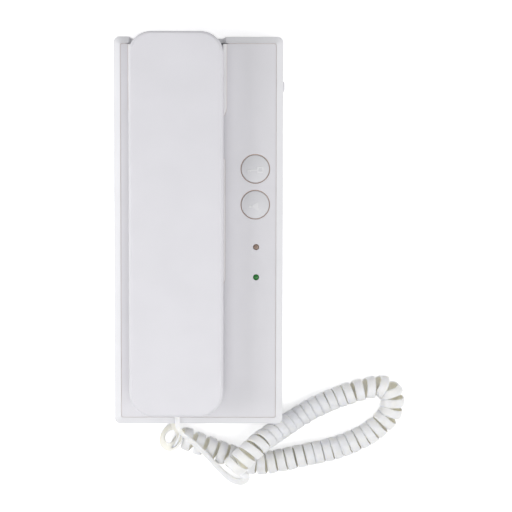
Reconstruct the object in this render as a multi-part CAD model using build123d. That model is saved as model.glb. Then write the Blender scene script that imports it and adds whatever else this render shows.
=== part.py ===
from build123d import *
import bisect
import math
import os

# An audio intercom handset lying on its back: X to the right, Y to the ear end, Z out of the front.
# The origin is the centre of the wall base's back face. All lengths are in millimetres.

# Wall base
base_width = 91.4
base_height = 210.0
base_depth = 24.0
base_corner_radius = 3.0
case_wall = 2.4
floor_thickness = 2.2
rim_width = 3.6
rim_drop = 1.6
rim_inner_radius = 1.2
lip_depth = 5.8
scoop_depth = 1.0
scoop_slope = 2.0

# Ribs inside the tray that carry the panel's edge
rib_reach = 1.4
rib_width = 2.4
rib_shares = (-0.4, -0.23, -0.06, 0.11, 0.27, 0.44)
end_rib_share = 0.33

# Front panel, set into the rim
panel_gap = 0.35
panel_thickness = 2.2
panel_corner_radius = 1.0

# The cradle: everything in the panel that the handset lies over
cradle_x = -11.3
channel_half_width = 26.3
channel_depth = 3.0
channel_end_y = 57.0
channel_draft_degrees = 17.0
channel_corner_radius = 9.0
ear_well_radius = 20.5
ear_well_depth = 6.0
mouth_well_radius = 17.5
mouth_well_depth = 5.0
pocket_half_width = 25.8
pocket_top_y = 41.7
pocket_bottom_y = -31.9
pocket_depth = 9.0
pocket_top_radius = 4.0
pocket_bottom_radius = 7.0

# Buttons and lamps, in one column beside the handset
button_x = 30.7
door_button_y = 34.0
button_spacing = 19.3
button_hole_radius = 8.0
button_gap = 0.5
button_proud = 0.3
button_edge_radius = 0.5
button_flange_width = 1.3
button_flange_thickness = 1.2
button_flange_gap = 0.2
button_stem_radius = 2.2
button_travel = 1.0
button_end_gap = 0.3
lamp_x = 31.2
call_lamp_y = -8.3
lamp_spacing = 16.4
lamp_radius = 1.5
lamp_gap = 0.15
lamp_flange_width = 0.4
lamp_flange_thickness = 1.0
lamp_body_length = 5.3
lamp_proud = 0.3
lamp_leg_size = 0.5
lamp_leg_spacing = 2.54

# Screws
screw_radius = 1.45
screw_gap = 0.1
screw_head_radius = 2.8
screw_head_thickness = 2.0
screw_head_gap = 0.4
screw_recess_radius = 1.2
screw_recess_depth = 1.0
boss_wall = 2.0
panel_screw_offset = 17.0
panel_screw_sink = 2.5
panel_screw_length = 12.0
panel_screw_upper_y = 48.8
panel_screw_lower_y = -40.0
case_boss_top = 15.0
board_screw_length = 6.0

# Fixing to the wall
wall_hole_radius = 2.25
wall_hole_spacing = 160.0
wall_pad_radius = 5.0
wall_pad_thickness = 1.2
cable_window_width = 20.0
cable_window_height = 16.0
cable_window_x = -17.0
cable_window_y = 14.0
cable_window_radius = 2.0

# Sounder outlet in the bottom wall
sound_slot_count = 5
sound_slot_width = 1.6
sound_slot_height = 7.0
sound_slot_pitch = 3.4
sound_slot_x = -33.0
sound_slot_z = 9.5

# Main board
board_left = 17.3
board_right = 40.0
board_top = 94.0
board_bottom = -62.0
board_thickness = 1.6
board_z = 8.0
board_screw_inset = 4.0
board_post_radius = 3.4
terminal_poles = 5
terminal_pitch = 5.0
terminal_width = 8.0
terminal_height = 10.0
terminal_y = 61.0
terminal_inset = 1.0
terminal_screw_radius = 1.6
terminal_screw_depth = 2.0
terminal_entry_size = 3.2
terminal_entry_depth = 3.0
switch_size = 6.0
switch_height = 3.5
switch_cap_radius = 1.7
chip_width = 5.0
chip_length = 10.0
chip_height = 1.6
chip_y = -34.0
capacitor_radius = 3.0
capacitor_height = 8.0
capacitor_y = -50.0
part_spacing = 12.0

# Hook plunger, its switch and spring, under the panel's bridge
plunger_y = 48.8
plunger_radius = 2.7
plunger_gap = 0.3
plunger_flange_radius = 4.2
plunger_flange_thickness = 1.2
plunger_rise = 3.0
plunger_rise_gap = 0.3
plunger_edge_radius = 0.8
hook_switch_length = 12.8
hook_switch_width = 5.8
hook_switch_height = 6.5
hook_switch_tip_radius = 1.0
hook_switch_tip_height = 1.2
spring_turns = 4
spring_radius = 3.0
spring_wire = 0.6
spring_seat_gap = 0.05

# Volume slider in the right wall
slider_y = 78.5
slider_travel = 2.2
slider_knob_length = 5.4
slider_knob_height = 3.0
slider_proud = 0.9
slider_slot_gap = 0.3
slider_arm_height = 2.0
slider_arm_length = 3.0
volume_switch_length = 14.0
volume_switch_depth = 5.0
volume_switch_height = 5.4

# Call sounder on the floor
sounder_x = -18.0
sounder_y = -68.0
sounder_radius = 12.0
sounder_height = 6.0
sounder_port_radius = 2.0
sounder_port_depth = 1.5

# Plugs and jacks of the cord
plug_width = 7.6
plug_height = 6.6
plug_length = 11.7
plug_gap = 0.15
plug_latch_width = 3.2
plug_latch_height = 1.0
plug_latch_length = 8.0
jack_wall = 1.5
jack_back = 1.2
base_jack_x = -16.0
base_jack_z = 11.8

# Handset
handset_width = 50.0
handset_length = 204.5
handset_overhang = 1.7
handset_thickness = 19.5
handset_rest_gap = 2.5
handset_back_thickness = 8.5
handset_top_radius = 12.0
handset_bottom_radius = 13.0
handset_edge_radius = 1.8
handset_wall = 2.0
seam_chamfer = 0.3
ear_from_top = 30.7
mouth_from_bottom = 25.8
bulge_gap = 0.7
bulge_taper = 1.4
bulge_edge_radius = 1.5
ear_hole_radius = 1.2
ear_hole_circle = 6.0
ear_hole_count = 6
mouth_hole_radius = 0.8
mouth_hole_circle = 2.4
mouth_hole_count = 3
handset_screw_upper_y = 42.0
handset_screw_lower_y = -40.0
handset_screw_sink = 2.4
handset_screw_length = 11.0
weight_width = 30.0
weight_length = 40.0
weight_height = 6.0
weight_y = 2.0
receiver_radius = 15.0
receiver_height = 8.0
receiver_rim_width = 1.2
receiver_rim_height = 2.0
gasket_height = 1.0
gasket_width = 2.5
microphone_radius = 4.85
microphone_height = 6.7
boot_wall = 1.2
boot_floor = 1.0
boot_height = 6.0
boot_hole_radius = 1.0

# Curly cord: a flat cord wound right-handed round a route that lies on the table
cord_width = 3.4
cord_thickness = 2.3
cord_radius = 1.5
coil_radius = 5.2
coil_turns = 41.51
coil_start_degrees = -80.0
coil_guide = 3.0
coil_chunk_turns = 4
end_run = 4.0
points_per_turn = 36
axis_steps = 400

# The coil's route: each place on its axis, and the pitch that the turns have there
coil_route = [
    ((23.2, -131.0, 20.6), 6.8),
    ((30.0, -125.2, 21.7), 5.8),
    ((38.6, -119.2, 18.0), 5.0),
    ((47.8, -112.9, 12.1), 4.9),
    ((57.0, -106.6, 8.1), 4.9),
    ((67.0, -100.2, 6.9), 4.9),
    ((78.1, -94.6, 6.9), 4.9),
    ((86.0, -92.1, 6.9), 6.2),
    ((92.8, -90.1, 6.9), 8.0),
    ((99.0, -89.9, 6.9), 8.2),
    ((104.6, -92.9, 6.9), 8.2),
    ((107.9, -98.2, 6.9), 8.4),
    ((108.1, -104.4, 6.9), 8.8),
    ((105.2, -110.0, 6.9), 8.6),
    ((99.8, -113.3, 6.9), 7.2),
    ((92.6, -115.6, 6.9), 5.8),
    ((80.0, -119.2, 6.9), 5.1),
    ((66.0, -122.8, 6.9), 5.2),
    ((50.4, -127.0, 6.9), 5.3),
    ((36.5, -129.4, 6.9), 5.7),
    ((25.4, -128.7, 6.9), 6.1),
    ((16.5, -125.2, 6.9), 6.1),
    ((5.9, -120.9, 6.9), 6.2),
    ((-3.5, -117.0, 6.9), 6.8),
    ((-9.2, -115.4, 6.6), 8.8),
    ((-13.4, -114.7, 7.3), 10.2),
    ((-16.6, -114.5, 8.6), 10.2),
]

# The handset lead's route, from its plug down over the coil and round into the first turn
handset_lead_route = [
    (-8.8, -109.6, 28.4),
    (-5.2, -114.8, 21.8),
    (-0.8, -120.2, 17.2),
    (4.4, -126.6, 13.0),
    (9.2, -133.0, 7.2),
    (14.8, -138.8, 3.2),
    (21.0, -142.2, 2.4),
    (26.2, -141.0, 4.4),
    (28.0, -139.5, 10.2),
]
lead_exit_run = 5.8
lead_end_run = 4.0
bend_share = 0.45
overrun = 1.0


# Sizes that follow from those above
rim_outer_z = base_depth - rim_drop
opening_width = base_width - 2 * rim_width
opening_height = base_height - 2 * rim_width
inner_width = base_width - 2 * case_wall
inner_height = base_height - 2 * case_wall
lip_bottom = base_depth - lip_depth
lip_reach = rim_width - case_wall
panel_width = opening_width - 2 * panel_gap
panel_height = opening_height - 2 * panel_gap
panel_back = base_depth - panel_thickness
board_top_z = board_z + board_thickness
call_button_y = door_button_y - button_spacing
power_lamp_y = call_lamp_y - lamp_spacing
cap_radius = button_hole_radius - button_gap
handset_top = base_height / 2 + handset_overhang
handset_bottom = handset_top - handset_length
handset_y = (handset_top + handset_bottom) / 2
handset_back = base_depth + handset_rest_gap
handset_front = handset_back + handset_thickness
handset_split = handset_back + handset_back_thickness
ear_y = handset_top - ear_from_top
mouth_y = handset_bottom + mouth_from_bottom
ear_floor = base_depth - ear_well_depth
mouth_floor = base_depth - mouth_well_depth
screw_hole_radius = screw_radius + screw_gap
head_hole_radius = screw_head_radius + screw_head_gap
boss_radius = screw_hole_radius + boss_wall
panel_screw_places = [
    (cradle_x + side * panel_screw_offset, y)
    for y in (panel_screw_upper_y, panel_screw_lower_y)
    for side in (-1, 1)
]
board_screw_places = [
    (x, y)
    for x in (board_left + board_screw_inset, board_right - board_screw_inset)
    for y in (board_bottom + board_screw_inset, board_top - board_screw_inset)
]
terminal_length = terminal_poles * terminal_pitch
terminal_x = board_left + terminal_inset + terminal_width / 2
switch_cap_top = (
    base_depth + button_proud - button_travel - button_end_gap - panel_thickness - button_flange_thickness
)
jack_width = plug_width + 2 * (plug_gap + jack_wall)
jack_height = plug_height + 2 * (plug_gap + jack_wall)
base_jack_length = plug_length - case_wall + plug_gap + jack_back
handset_jack_length = plug_length - handset_wall + plug_gap + jack_back
handset_plug_z = handset_back + handset_wall + jack_height / 2


def block(x0, x1, y0, y1, z0, z1):
    """A box between two corners."""
    return Pos((x0 + x1) / 2, (y0 + y1) / 2, (z0 + z1) / 2) * Box(x1 - x0, y1 - y0, z1 - z0)


def rod(x, y, radius, z0, z1):
    """A round rod along Z."""
    return Pos(x, y, (z0 + z1) / 2) * Cylinder(radius, z1 - z0)


def outline(width, height, top_radius, bottom_radius):
    """A rectangle whose upper and lower corners are rounded."""
    face = Rectangle(width, height)
    corners = face.vertices().sort_by(Axis.Y)
    face = fillet(corners[2:], top_radius)
    return fillet(face.vertices().sort_by(Axis.Y)[:2], bottom_radius)


def prism(width, height, radius, z0, z1):
    """An upright slab with rounded corners, centred on the origin."""
    return Pos(0, 0, z0) * extrude(RectangleRounded(width, height, radius), z1 - z0)


def screw(x, y, seat, length, way):
    """A pan-head screw: its head stands on seat, and its shank runs the length along way, +1 or -1."""
    head_top = seat - way * screw_head_thickness
    head = rod(x, y, screw_head_radius, min(seat, head_top), max(seat, head_top))
    head = chamfer(head.edges().group_by(Axis.Z)[0 if way > 0 else -1], screw_head_thickness / 4)
    recess_bottom = head_top + way * screw_recess_depth
    recess = Pos(x, y, min(head_top, recess_bottom)) * extrude(
        RegularPolygon(screw_recess_radius, 4), screw_recess_depth
    )
    tip = seat + way * length
    shank = rod(x, y, screw_radius, min(seat, tip), max(seat, tip))
    return head + shank - recess


# Wall base


def make_rear_case():
    """The tray that screws to the wall, with its bevelled rim, ribs, bosses and openings."""
    body = prism(base_width, base_height, base_corner_radius, 0, rim_outer_z)
    rim = loft(
        [
            Pos(0, 0, rim_outer_z) * RectangleRounded(base_width, base_height, base_corner_radius),
            Pos(0, 0, base_depth) * RectangleRounded(opening_width, opening_height, rim_inner_radius),
        ],
        ruled=True,
    )
    case = body + rim
    inner_radius = base_corner_radius / 2
    case -= prism(inner_width, inner_height, inner_radius, floor_thickness, lip_bottom - lip_reach)
    case -= loft(
        [
            Pos(0, 0, lip_bottom - lip_reach) * RectangleRounded(inner_width, inner_height, inner_radius),
            Pos(0, 0, lip_bottom) * RectangleRounded(opening_width, opening_height, rim_inner_radius),
        ],
        ruled=True,
    )
    case -= prism(opening_width, opening_height, rim_inner_radius, lip_bottom, base_depth + overrun)

    # The rim is lower where the handset's end passes over it, and the top wall is scooped there
    channel = channel_tool()
    case -= channel
    half = channel_half_width - scoop_slope
    top = base_height / 2
    scoop = make_face(
        Polyline(
            (cradle_x - half, top - scoop_depth),
            (cradle_x + half, top - scoop_depth),
            (cradle_x + half + scoop_slope, top),
            (cradle_x + half + scoop_slope, top + overrun),
            (cradle_x - half - scoop_slope, top + overrun),
            (cradle_x - half - scoop_slope, top),
            close=True,
        )
    )
    case -= Pos(0, 0, -overrun) * extrude(scoop, base_depth + 2 * overrun)

    # Ribs that carry the panel's edge
    rib_x = base_width / 2 - case_wall
    rib_in = opening_width / 2 - rib_reach
    added = []
    for share in rib_shares:
        y = share * base_height
        for side in (-1, 1):
            x0, x1 = sorted((side * rib_in, side * rib_x))
            added.append(block(x0, x1, y - rib_width / 2, y + rib_width / 2, floor_thickness, panel_back))
    rib_y = base_height / 2 - case_wall
    rib_low = opening_height / 2 - rib_reach
    end_rib = end_rib_share * base_width
    for x, side in ((end_rib, 1), (end_rib, -1), (-end_rib, -1)):
        y0, y1 = sorted((side * rib_low, side * rib_y))
        added.append(block(x - rib_width / 2, x + rib_width / 2, y0, y1, floor_thickness, panel_back))

    # Bosses for the panel's screws, posts for the board, pads round the wall holes
    removed = []
    for x, y in panel_screw_places:
        added.append(rod(x, y, boss_radius, floor_thickness, case_boss_top))
        removed.append(rod(x, y, screw_hole_radius, floor_thickness, case_boss_top + overrun))
    for x, y in board_screw_places:
        added.append(rod(x, y, board_post_radius, floor_thickness, board_z))
        removed.append(rod(x, y, screw_hole_radius, floor_thickness, board_z + overrun))
    for side in (-1, 1):
        y = side * wall_hole_spacing / 2
        added.append(rod(0, y, wall_pad_radius, floor_thickness, floor_thickness + wall_pad_thickness))
        removed.append(rod(0, y, wall_hole_radius, -overrun, floor_thickness + wall_pad_thickness + overrun))

    # The hook switch's stand and the jack's plinth
    added.append(
        block(
            cradle_x - hook_switch_length / 2,
            cradle_x + hook_switch_length / 2,
            plunger_y - hook_switch_width / 2,
            plunger_y + hook_switch_width / 2,
            floor_thickness,
            hook_switch_bottom(),
        )
    )
    jack_front = -base_height / 2 + case_wall
    added.append(
        block(
            base_jack_x - jack_width / 2,
            base_jack_x + jack_width / 2,
            jack_front,
            jack_front + base_jack_length,
            floor_thickness,
            base_jack_z - jack_height / 2,
        )
    )
    return case + added - removed - case_openings()


def case_openings():
    """The tray's cable window, plug hole, sound slots and slider slot."""
    window = extrude(
        RectangleRounded(cable_window_width, cable_window_height, cable_window_radius),
        floor_thickness + 2 * overrun,
    )
    openings = [Pos(cable_window_x, cable_window_y, -overrun) * window]
    openings.append(
        block(
            base_jack_x - plug_width / 2 - plug_gap,
            base_jack_x + plug_width / 2 + plug_gap,
            -base_height / 2 - overrun,
            -inner_height / 2 + overrun,
            base_jack_z - plug_height / 2 - plug_gap,
            base_jack_z + plug_height / 2 + plug_gap,
        )
    )
    for i in range(sound_slot_count):
        x = sound_slot_x + (i - (sound_slot_count - 1) / 2) * sound_slot_pitch
        openings.append(
            block(
                x - sound_slot_width / 2,
                x + sound_slot_width / 2,
                -base_height / 2 - overrun,
                -inner_height / 2 + overrun,
                sound_slot_z - sound_slot_height / 2,
                sound_slot_z + sound_slot_height / 2,
            )
        )
    slot_half = slider_knob_length / 2 + slider_travel + slider_slot_gap
    slot_rise = slider_knob_height / 2 + slider_slot_gap
    openings.append(
        block(
            inner_width / 2 - overrun,
            base_width / 2 + overrun,
            slider_y - slot_half,
            slider_y + slot_half,
            slider_z() - slot_rise,
            slider_z() + slot_rise,
        )
    )
    return openings


def channel_plane():
    """The sloping floor of the shallow channel under the ear end; it meets the panel's face at its lower end."""
    length = opening_height / 2 - channel_end_y
    slope = math.degrees(math.atan2(channel_depth, length))
    return Plane(origin=(cradle_x, channel_end_y, base_depth)) * Plane(Rot(-slope, 0, 0))


def channel_tool():
    """What the channel takes out of the panel and the rim: a sloping floor and drafted side walls."""
    reach = base_height / 2 - channel_end_y + rim_width
    floor = Pos(0, reach / 2, 0) * outline(
        2 * channel_half_width - 2 * channel_depth * math.tan(math.radians(channel_draft_degrees)),
        reach,
        rim_inner_radius,
        channel_corner_radius,
    )
    tool = extrude(floor, 2 * channel_depth, taper=-channel_draft_degrees)
    return channel_plane() * tool


def channel_skin():
    """The panel's material under the channel's floor."""
    reach = panel_height / 2 - channel_end_y
    floor = Pos(0, reach / 2, 0) * Rectangle(2 * channel_half_width + 2 * panel_thickness, reach)
    skin = channel_plane() * Pos(0, 0, -panel_thickness) * extrude(floor, panel_thickness)
    return skin & block(
        -panel_width / 2, panel_width / 2, 0, panel_height / 2, 0, base_depth
    )


def pocket(half_width, top_y, bottom_y, grow, z0, z1):
    """The relief behind the handset's grip, grown by its wall where asked."""
    shape = outline(
        2 * (half_width + grow), top_y - bottom_y + 2 * grow, pocket_top_radius + grow, pocket_bottom_radius + grow
    )
    return Pos(cradle_x, (top_y + bottom_y) / 2, z0) * extrude(shape, z1 - z0)


def make_front_panel():
    """The inset front, with the handset's cradle, the button and lamp holes, and its screw bosses."""
    panel = prism(panel_width, panel_height, panel_corner_radius, panel_back, base_depth)
    panel += channel_skin()
    wall = panel_thickness
    wells = (
        (ear_y, ear_well_radius, ear_floor),
        (mouth_y, mouth_well_radius, mouth_floor),
    )
    for y, radius, floor in wells:
        panel += rod(cradle_x, y, radius + wall, floor - wall, panel_back + wall / 2)
    pocket_floor = base_depth - pocket_depth
    panel += pocket(
        pocket_half_width, pocket_top_y, pocket_bottom_y, wall, pocket_floor - wall, panel_back + wall / 2
    )
    for x, y in panel_screw_places:
        panel += rod(x, y, boss_radius + boss_wall / 2, case_boss_top, panel_back + wall / 2)
    panel -= channel_tool()
    for y, radius, floor in wells:
        panel -= rod(cradle_x, y, radius, floor, base_depth + overrun)
    panel -= pocket(pocket_half_width, pocket_top_y, pocket_bottom_y, 0, pocket_floor, base_depth + overrun)
    for x, y in panel_screw_places:
        panel -= rod(x, y, screw_hole_radius, case_boss_top - overrun, base_depth)
        panel -= rod(x, y, head_hole_radius, base_depth - panel_screw_sink, base_depth + overrun)
    for y in (door_button_y, call_button_y):
        panel -= rod(button_x, y, button_hole_radius, panel_back - overrun, base_depth + overrun)
    for y in (call_lamp_y, power_lamp_y):
        panel -= rod(lamp_x, y, lamp_radius + lamp_gap, panel_back - overrun, base_depth + overrun)
    panel -= rod(cradle_x, plunger_y, plunger_radius + plunger_gap, panel_back - overrun, base_depth + overrun)
    return panel


def make_button(y):
    """A round push button: its cap in the panel's hole, a flange behind it, and a stem over its switch."""
    top = base_depth + button_proud
    flange_top = panel_back - button_flange_gap
    cap = rod(button_x, y, cap_radius, flange_top, top)
    cap = fillet(cap.edges().group_by(Axis.Z)[-1], button_edge_radius)
    flange = rod(
        button_x, y, button_hole_radius + button_flange_width, flange_top - button_flange_thickness, flange_top
    )
    stem_bottom = tact_top() + button_travel + button_end_gap
    stem = rod(button_x, y, button_stem_radius, stem_bottom, flange_top - button_flange_thickness)
    return cap + flange + stem


def tact_top():
    """The height of a push switch's own cap."""
    return board_top_z + switch_height * 2


def make_tact_switch(y):
    """A push switch on the board under a button."""
    half = switch_size / 2
    body = block(button_x - half, button_x + half, y - half, y + half, board_top_z, board_top_z + switch_height)
    return body + rod(button_x, y, switch_cap_radius, board_top_z + switch_height, tact_top())


def make_lamp(y):
    """A round lamp with its flange and two legs down to the board."""
    top = base_depth + lamp_proud
    bottom = top - lamp_body_length
    body = rod(lamp_x, y, lamp_radius, bottom, top - lamp_radius)
    dome = Pos(lamp_x, y, top - lamp_radius) * Sphere(lamp_radius)
    dome &= rod(lamp_x, y, lamp_radius, top - lamp_radius, top)
    flange = rod(lamp_x, y, lamp_radius + lamp_flange_width, bottom, bottom + lamp_flange_thickness)
    lamp = body + dome + flange
    for side in (-1, 1):
        x = lamp_x + side * lamp_leg_spacing / 2
        half = lamp_leg_size / 2
        lamp += block(x - half, x + half, y - half, y + half, board_top_z, bottom)
    return lamp


def make_main_board():
    """The board along the right side, on four posts."""
    board = block(board_left, board_right, board_bottom, board_top, board_z, board_top_z)
    for x, y in board_screw_places:
        board -= rod(x, y, screw_hole_radius, board_z - overrun, board_top_z + overrun)
    return board


def make_board_parts():
    """The larger components soldered to the board: two chips and two capacitors."""
    middle = (board_left + board_right) / 2
    parts = []
    for i in range(2):
        y = chip_y + i * part_spacing
        if i == 0:
            x = middle
        else:
            x = board_left + chip_length / 2 + terminal_inset
        parts.append(
            block(
                x - chip_length / 2,
                x + chip_length / 2,
                y - chip_width / 2,
                y + chip_width / 2,
                board_top_z,
                board_top_z + chip_height,
            )
        )
    for side in (-1, 1):
        x = middle + side * part_spacing / 3
        parts.append(rod(x, capacitor_y, capacitor_radius, board_top_z, board_top_z + capacitor_height))
    return Compound(children=parts)


def make_terminal_block():
    """The row of screw terminals for the wires from the wall."""
    half = terminal_length / 2
    body = block(
        terminal_x - terminal_width / 2,
        terminal_x + terminal_width / 2,
        terminal_y - half,
        terminal_y + half,
        board_top_z,
        board_top_z + terminal_height,
    )
    top = board_top_z + terminal_height
    left = terminal_x - terminal_width / 2
    for i in range(terminal_poles):
        y = terminal_y - half + (i + 0.5) * terminal_pitch
        body -= rod(terminal_x, y, terminal_screw_radius + screw_gap, top - terminal_screw_depth, top + overrun)
        body -= block(
            left - overrun,
            left + terminal_entry_depth,
            y - terminal_entry_size / 2,
            y + terminal_entry_size / 2,
            board_top_z + overrun,
            board_top_z + overrun + terminal_entry_size,
        )
    return body


def make_terminal_screws():
    """The clamping screws in the terminal block."""
    top = board_top_z + terminal_height
    screws = []
    for i in range(terminal_poles):
        y = terminal_y - terminal_length / 2 + (i + 0.5) * terminal_pitch
        head = rod(terminal_x, y, terminal_screw_radius, top - terminal_screw_depth, top - screw_gap)
        half = terminal_screw_radius / 4
        reach = terminal_screw_radius + overrun
        slot = block(
            terminal_x - half,
            terminal_x + half,
            y - reach,
            y + reach,
            top - screw_gap - terminal_screw_depth / 3,
            top + overrun,
        )
        screws.append(head - slot)
    return Compound(children=screws)


def hook_switch_bottom():
    """The height of the stand that carries the hook switch."""
    return spring_bottom() - hook_switch_height


def spring_bottom():
    """The height at which the plunger's spring stands on the hook switch."""
    return plunger_flange_bottom() - spring_length()


def plunger_flange_bottom():
    """The underside of the plunger's flange with the handset on the hook."""
    return panel_back - plunger_rise_gap - plunger_rise - plunger_flange_thickness


def spring_length():
    """The length of the plunger's spring with the handset on the hook."""
    return spring_turns * spring_wire * 2 + hook_switch_tip_height


def make_hook_plunger():
    """The plunger that the resting handset holds down."""
    stem = rod(cradle_x, plunger_y, plunger_radius, plunger_flange_bottom(), handset_back)
    stem = fillet(stem.edges().group_by(Axis.Z)[-1], plunger_edge_radius)
    flange = rod(
        cradle_x,
        plunger_y,
        plunger_flange_radius,
        plunger_flange_bottom(),
        plunger_flange_bottom() + plunger_flange_thickness,
    )
    return stem + flange


def make_hook_switch():
    """The switch under the plunger."""
    top = spring_bottom()
    body = block(
        cradle_x - hook_switch_length / 2,
        cradle_x + hook_switch_length / 2,
        plunger_y - hook_switch_width / 2,
        plunger_y + hook_switch_width / 2,
        hook_switch_bottom(),
        top,
    )
    return body + rod(cradle_x, plunger_y, hook_switch_tip_radius, top, top + hook_switch_tip_height)


def biarc(start, start_way, end, end_way):
    """Two arcs that leave start along start_way and reach end along end_way."""
    chord = end - start
    a = 2 * (start_way.dot(end_way) - 1)
    b = -2 * chord.dot(start_way + end_way)
    c = chord.dot(chord)
    root = math.sqrt(b * b - 4 * a * c)
    reach = max((-b - root) / (2 * a), (-b + root) / (2 * a))
    joint = (start + start_way * reach + end - end_way * reach) * 0.5
    first = Edge.make_tangent_arc(start, start_way, joint)
    second = Edge.make_tangent_arc(joint, first.tangent_at(1), end)
    return [first, second]


def way_along(curve, turn):
    """The unit direction of a curve of the turn number, from its two sides."""
    step = 1e-3
    return (curve(turn + step) - curve(turn - step)).normalized()


def wound_wire(curve, first, last):
    """Biarcs of half a turn along a curve of the turn number."""
    count = max(1, round(2 * (last - first)))
    turns = [first + (last - first) * i / count for i in range(count + 1)]
    edges = []
    for a, b in zip(turns, turns[1:]):
        edges += biarc(curve(a), way_along(curve, a), curve(b), way_along(curve, b))
    return edges


def make_hook_spring():
    """The compression spring between the hook switch and the plunger's flange."""
    bottom = spring_bottom() + spring_wire / 2 + spring_seat_gap
    top = plunger_flange_bottom() - spring_wire / 2 - spring_seat_gap

    def curve(turn):
        angle = 2 * math.pi * turn
        rise = (top - bottom) * turn / spring_turns
        return Vector(
            cradle_x + spring_radius * math.cos(angle), plunger_y + spring_radius * math.sin(angle), bottom + rise
        )

    wire = Wire(wound_wire(curve, 0, spring_turns))
    section = Plane(origin=curve(0), z_dir=way_along(curve, 0)) * RegularPolygon(spring_wire / 2, 4)
    return Solid.sweep(section.face(), wire)


def slider_z():
    """The height of the volume slider's middle over the back face."""
    return board_top_z + volume_switch_height / 2


def volume_switch_face():
    """The X of the volume switch's outer face."""
    return board_right


def make_volume_switch():
    """The sliding control on the board's right edge."""
    half = volume_switch_length / 2
    face = volume_switch_face()
    body = block(
        face - volume_switch_depth, face, slider_y - half, slider_y + half, board_top_z,
        board_top_z + volume_switch_height,
    )
    slot_half = slider_arm_length / 2 + slider_travel + slider_slot_gap
    slot_rise = slider_arm_height / 2 + slider_slot_gap
    return body - block(
        face - volume_switch_depth / 2,
        face + overrun,
        slider_y - slot_half,
        slider_y + slot_half,
        slider_z() - slot_rise,
        slider_z() + slot_rise,
    )


def make_volume_slider():
    """The slider's knob in the wall's slot, on an arm that reaches into the control."""
    half = slider_knob_length / 2
    knob_back = inner_width / 2
    knob = block(
        knob_back,
        base_width / 2 + slider_proud,
        slider_y - half,
        slider_y + half,
        slider_z() - slider_knob_height / 2,
        slider_z() + slider_knob_height / 2,
    )
    knob = chamfer(knob.edges().group_by(Axis.X)[-1], slider_proud / 3)
    arm = block(
        volume_switch_face() - volume_switch_depth / 2 + slider_slot_gap,
        knob_back,
        slider_y - slider_arm_length / 2,
        slider_y + slider_arm_length / 2,
        slider_z() - slider_arm_height / 2,
        slider_z() + slider_arm_height / 2,
    )
    return knob + arm


def make_call_sounder():
    """The round sounder on the tray's floor."""
    top = floor_thickness + sounder_height
    body = rod(sounder_x, sounder_y, sounder_radius, floor_thickness, top)
    return body - rod(sounder_x, sounder_y, sounder_port_radius, top - sounder_port_depth, top + overrun)


def make_plug(x, back_y, z):
    """A modular plug pushed in along +Y, its back at back_y, with its latch below."""
    body = block(
        x - plug_width / 2, x + plug_width / 2, back_y, back_y + plug_length, z - plug_height / 2, z + plug_height / 2
    )
    half = plug_latch_width / 2
    notch = block(
        x - half - plug_gap,
        x + half + plug_gap,
        back_y + plug_length - plug_latch_length,
        back_y + plug_length + overrun,
        z - plug_height / 2 - overrun,
        z - plug_height / 2 + plug_latch_height,
    )
    latch = block(
        x - half,
        x + half,
        back_y + plug_length - plug_latch_length,
        back_y + plug_length - plug_gap,
        z - plug_height / 2,
        z - plug_height / 2 + plug_latch_height / 2,
    )
    return body - notch + latch


def make_jack(x, front_y, z, length):
    """The socket round a plug: open at front_y, closed at its far end."""
    body = block(
        x - jack_width / 2,
        x + jack_width / 2,
        front_y,
        front_y + length,
        z - jack_height / 2,
        z + jack_height / 2,
    )
    return body - block(
        x - plug_width / 2 - plug_gap,
        x + plug_width / 2 + plug_gap,
        front_y - overrun,
        front_y + length - jack_back,
        z - plug_height / 2 - plug_gap,
        z + plug_height / 2 + plug_gap,
    )


def make_panel_screws():
    """The four screws that hold the front panel, hidden under the handset."""
    seat = base_depth - panel_screw_sink
    return Compound(children=[screw(x, y, seat, panel_screw_length, -1) for x, y in panel_screw_places])


def make_board_screws():
    """The four screws that hold the main board on its posts."""
    return Compound(children=[screw(x, y, board_top_z, board_screw_length, -1) for x, y in board_screw_places])


# Handset


def handset_face():
    """The handset's outline seen from the front."""
    return outline(handset_width, handset_length, handset_top_radius, handset_bottom_radius)


def handset_cavity(z0, z1):
    """The hollow inside the handset's walls."""
    inner = outline(
        handset_width - 2 * handset_wall,
        handset_length - 2 * handset_wall,
        handset_top_radius - handset_wall,
        handset_bottom_radius - handset_wall,
    )
    return Pos(cradle_x, handset_y, z0) * extrude(inner, z1 - z0)


def make_shell_front():
    """The handset's outer half, with its softly rounded front edge and screw bosses."""
    shell = Pos(cradle_x, handset_y, handset_split) * extrude(handset_face(), handset_front - handset_split)
    shell = fillet(shell.edges().group_by(Axis.Z)[-1], handset_edge_radius)
    shell = chamfer(shell.edges().group_by(Axis.Z)[0], seam_chamfer)
    shell -= handset_cavity(handset_split - overrun, handset_front - handset_wall)
    for y in (handset_screw_upper_y, handset_screw_lower_y):
        shell += rod(cradle_x, y, boss_radius, handset_split, handset_front - handset_wall)
        shell -= rod(cradle_x, y, screw_hole_radius, handset_split - overrun, handset_front - handset_wall - overrun)
    return shell - handset_plug_hole()


def handset_plug_hole():
    """The hole for the plug in the handset's lower end."""
    return block(
        cradle_x - plug_width / 2 - plug_gap,
        cradle_x + plug_width / 2 + plug_gap,
        handset_bottom - overrun,
        handset_bottom + handset_wall + overrun,
        handset_plug_z - plug_height / 2 - plug_gap,
        handset_plug_z + plug_height / 2 + plug_gap,
    )


def bulge(y, radius, floor, grow):
    """A round piece on the handset's back: a tapered drum, shrunk by the wall where asked."""
    height = handset_back - floor + handset_wall
    drum = Pos(cradle_x, y, floor - grow + height / 2) * Cone(
        radius - bulge_taper + grow, radius + grow, height
    )
    if grow:
        return drum
    return fillet(drum.edges().group_by(Axis.Z)[0], bulge_edge_radius)


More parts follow.
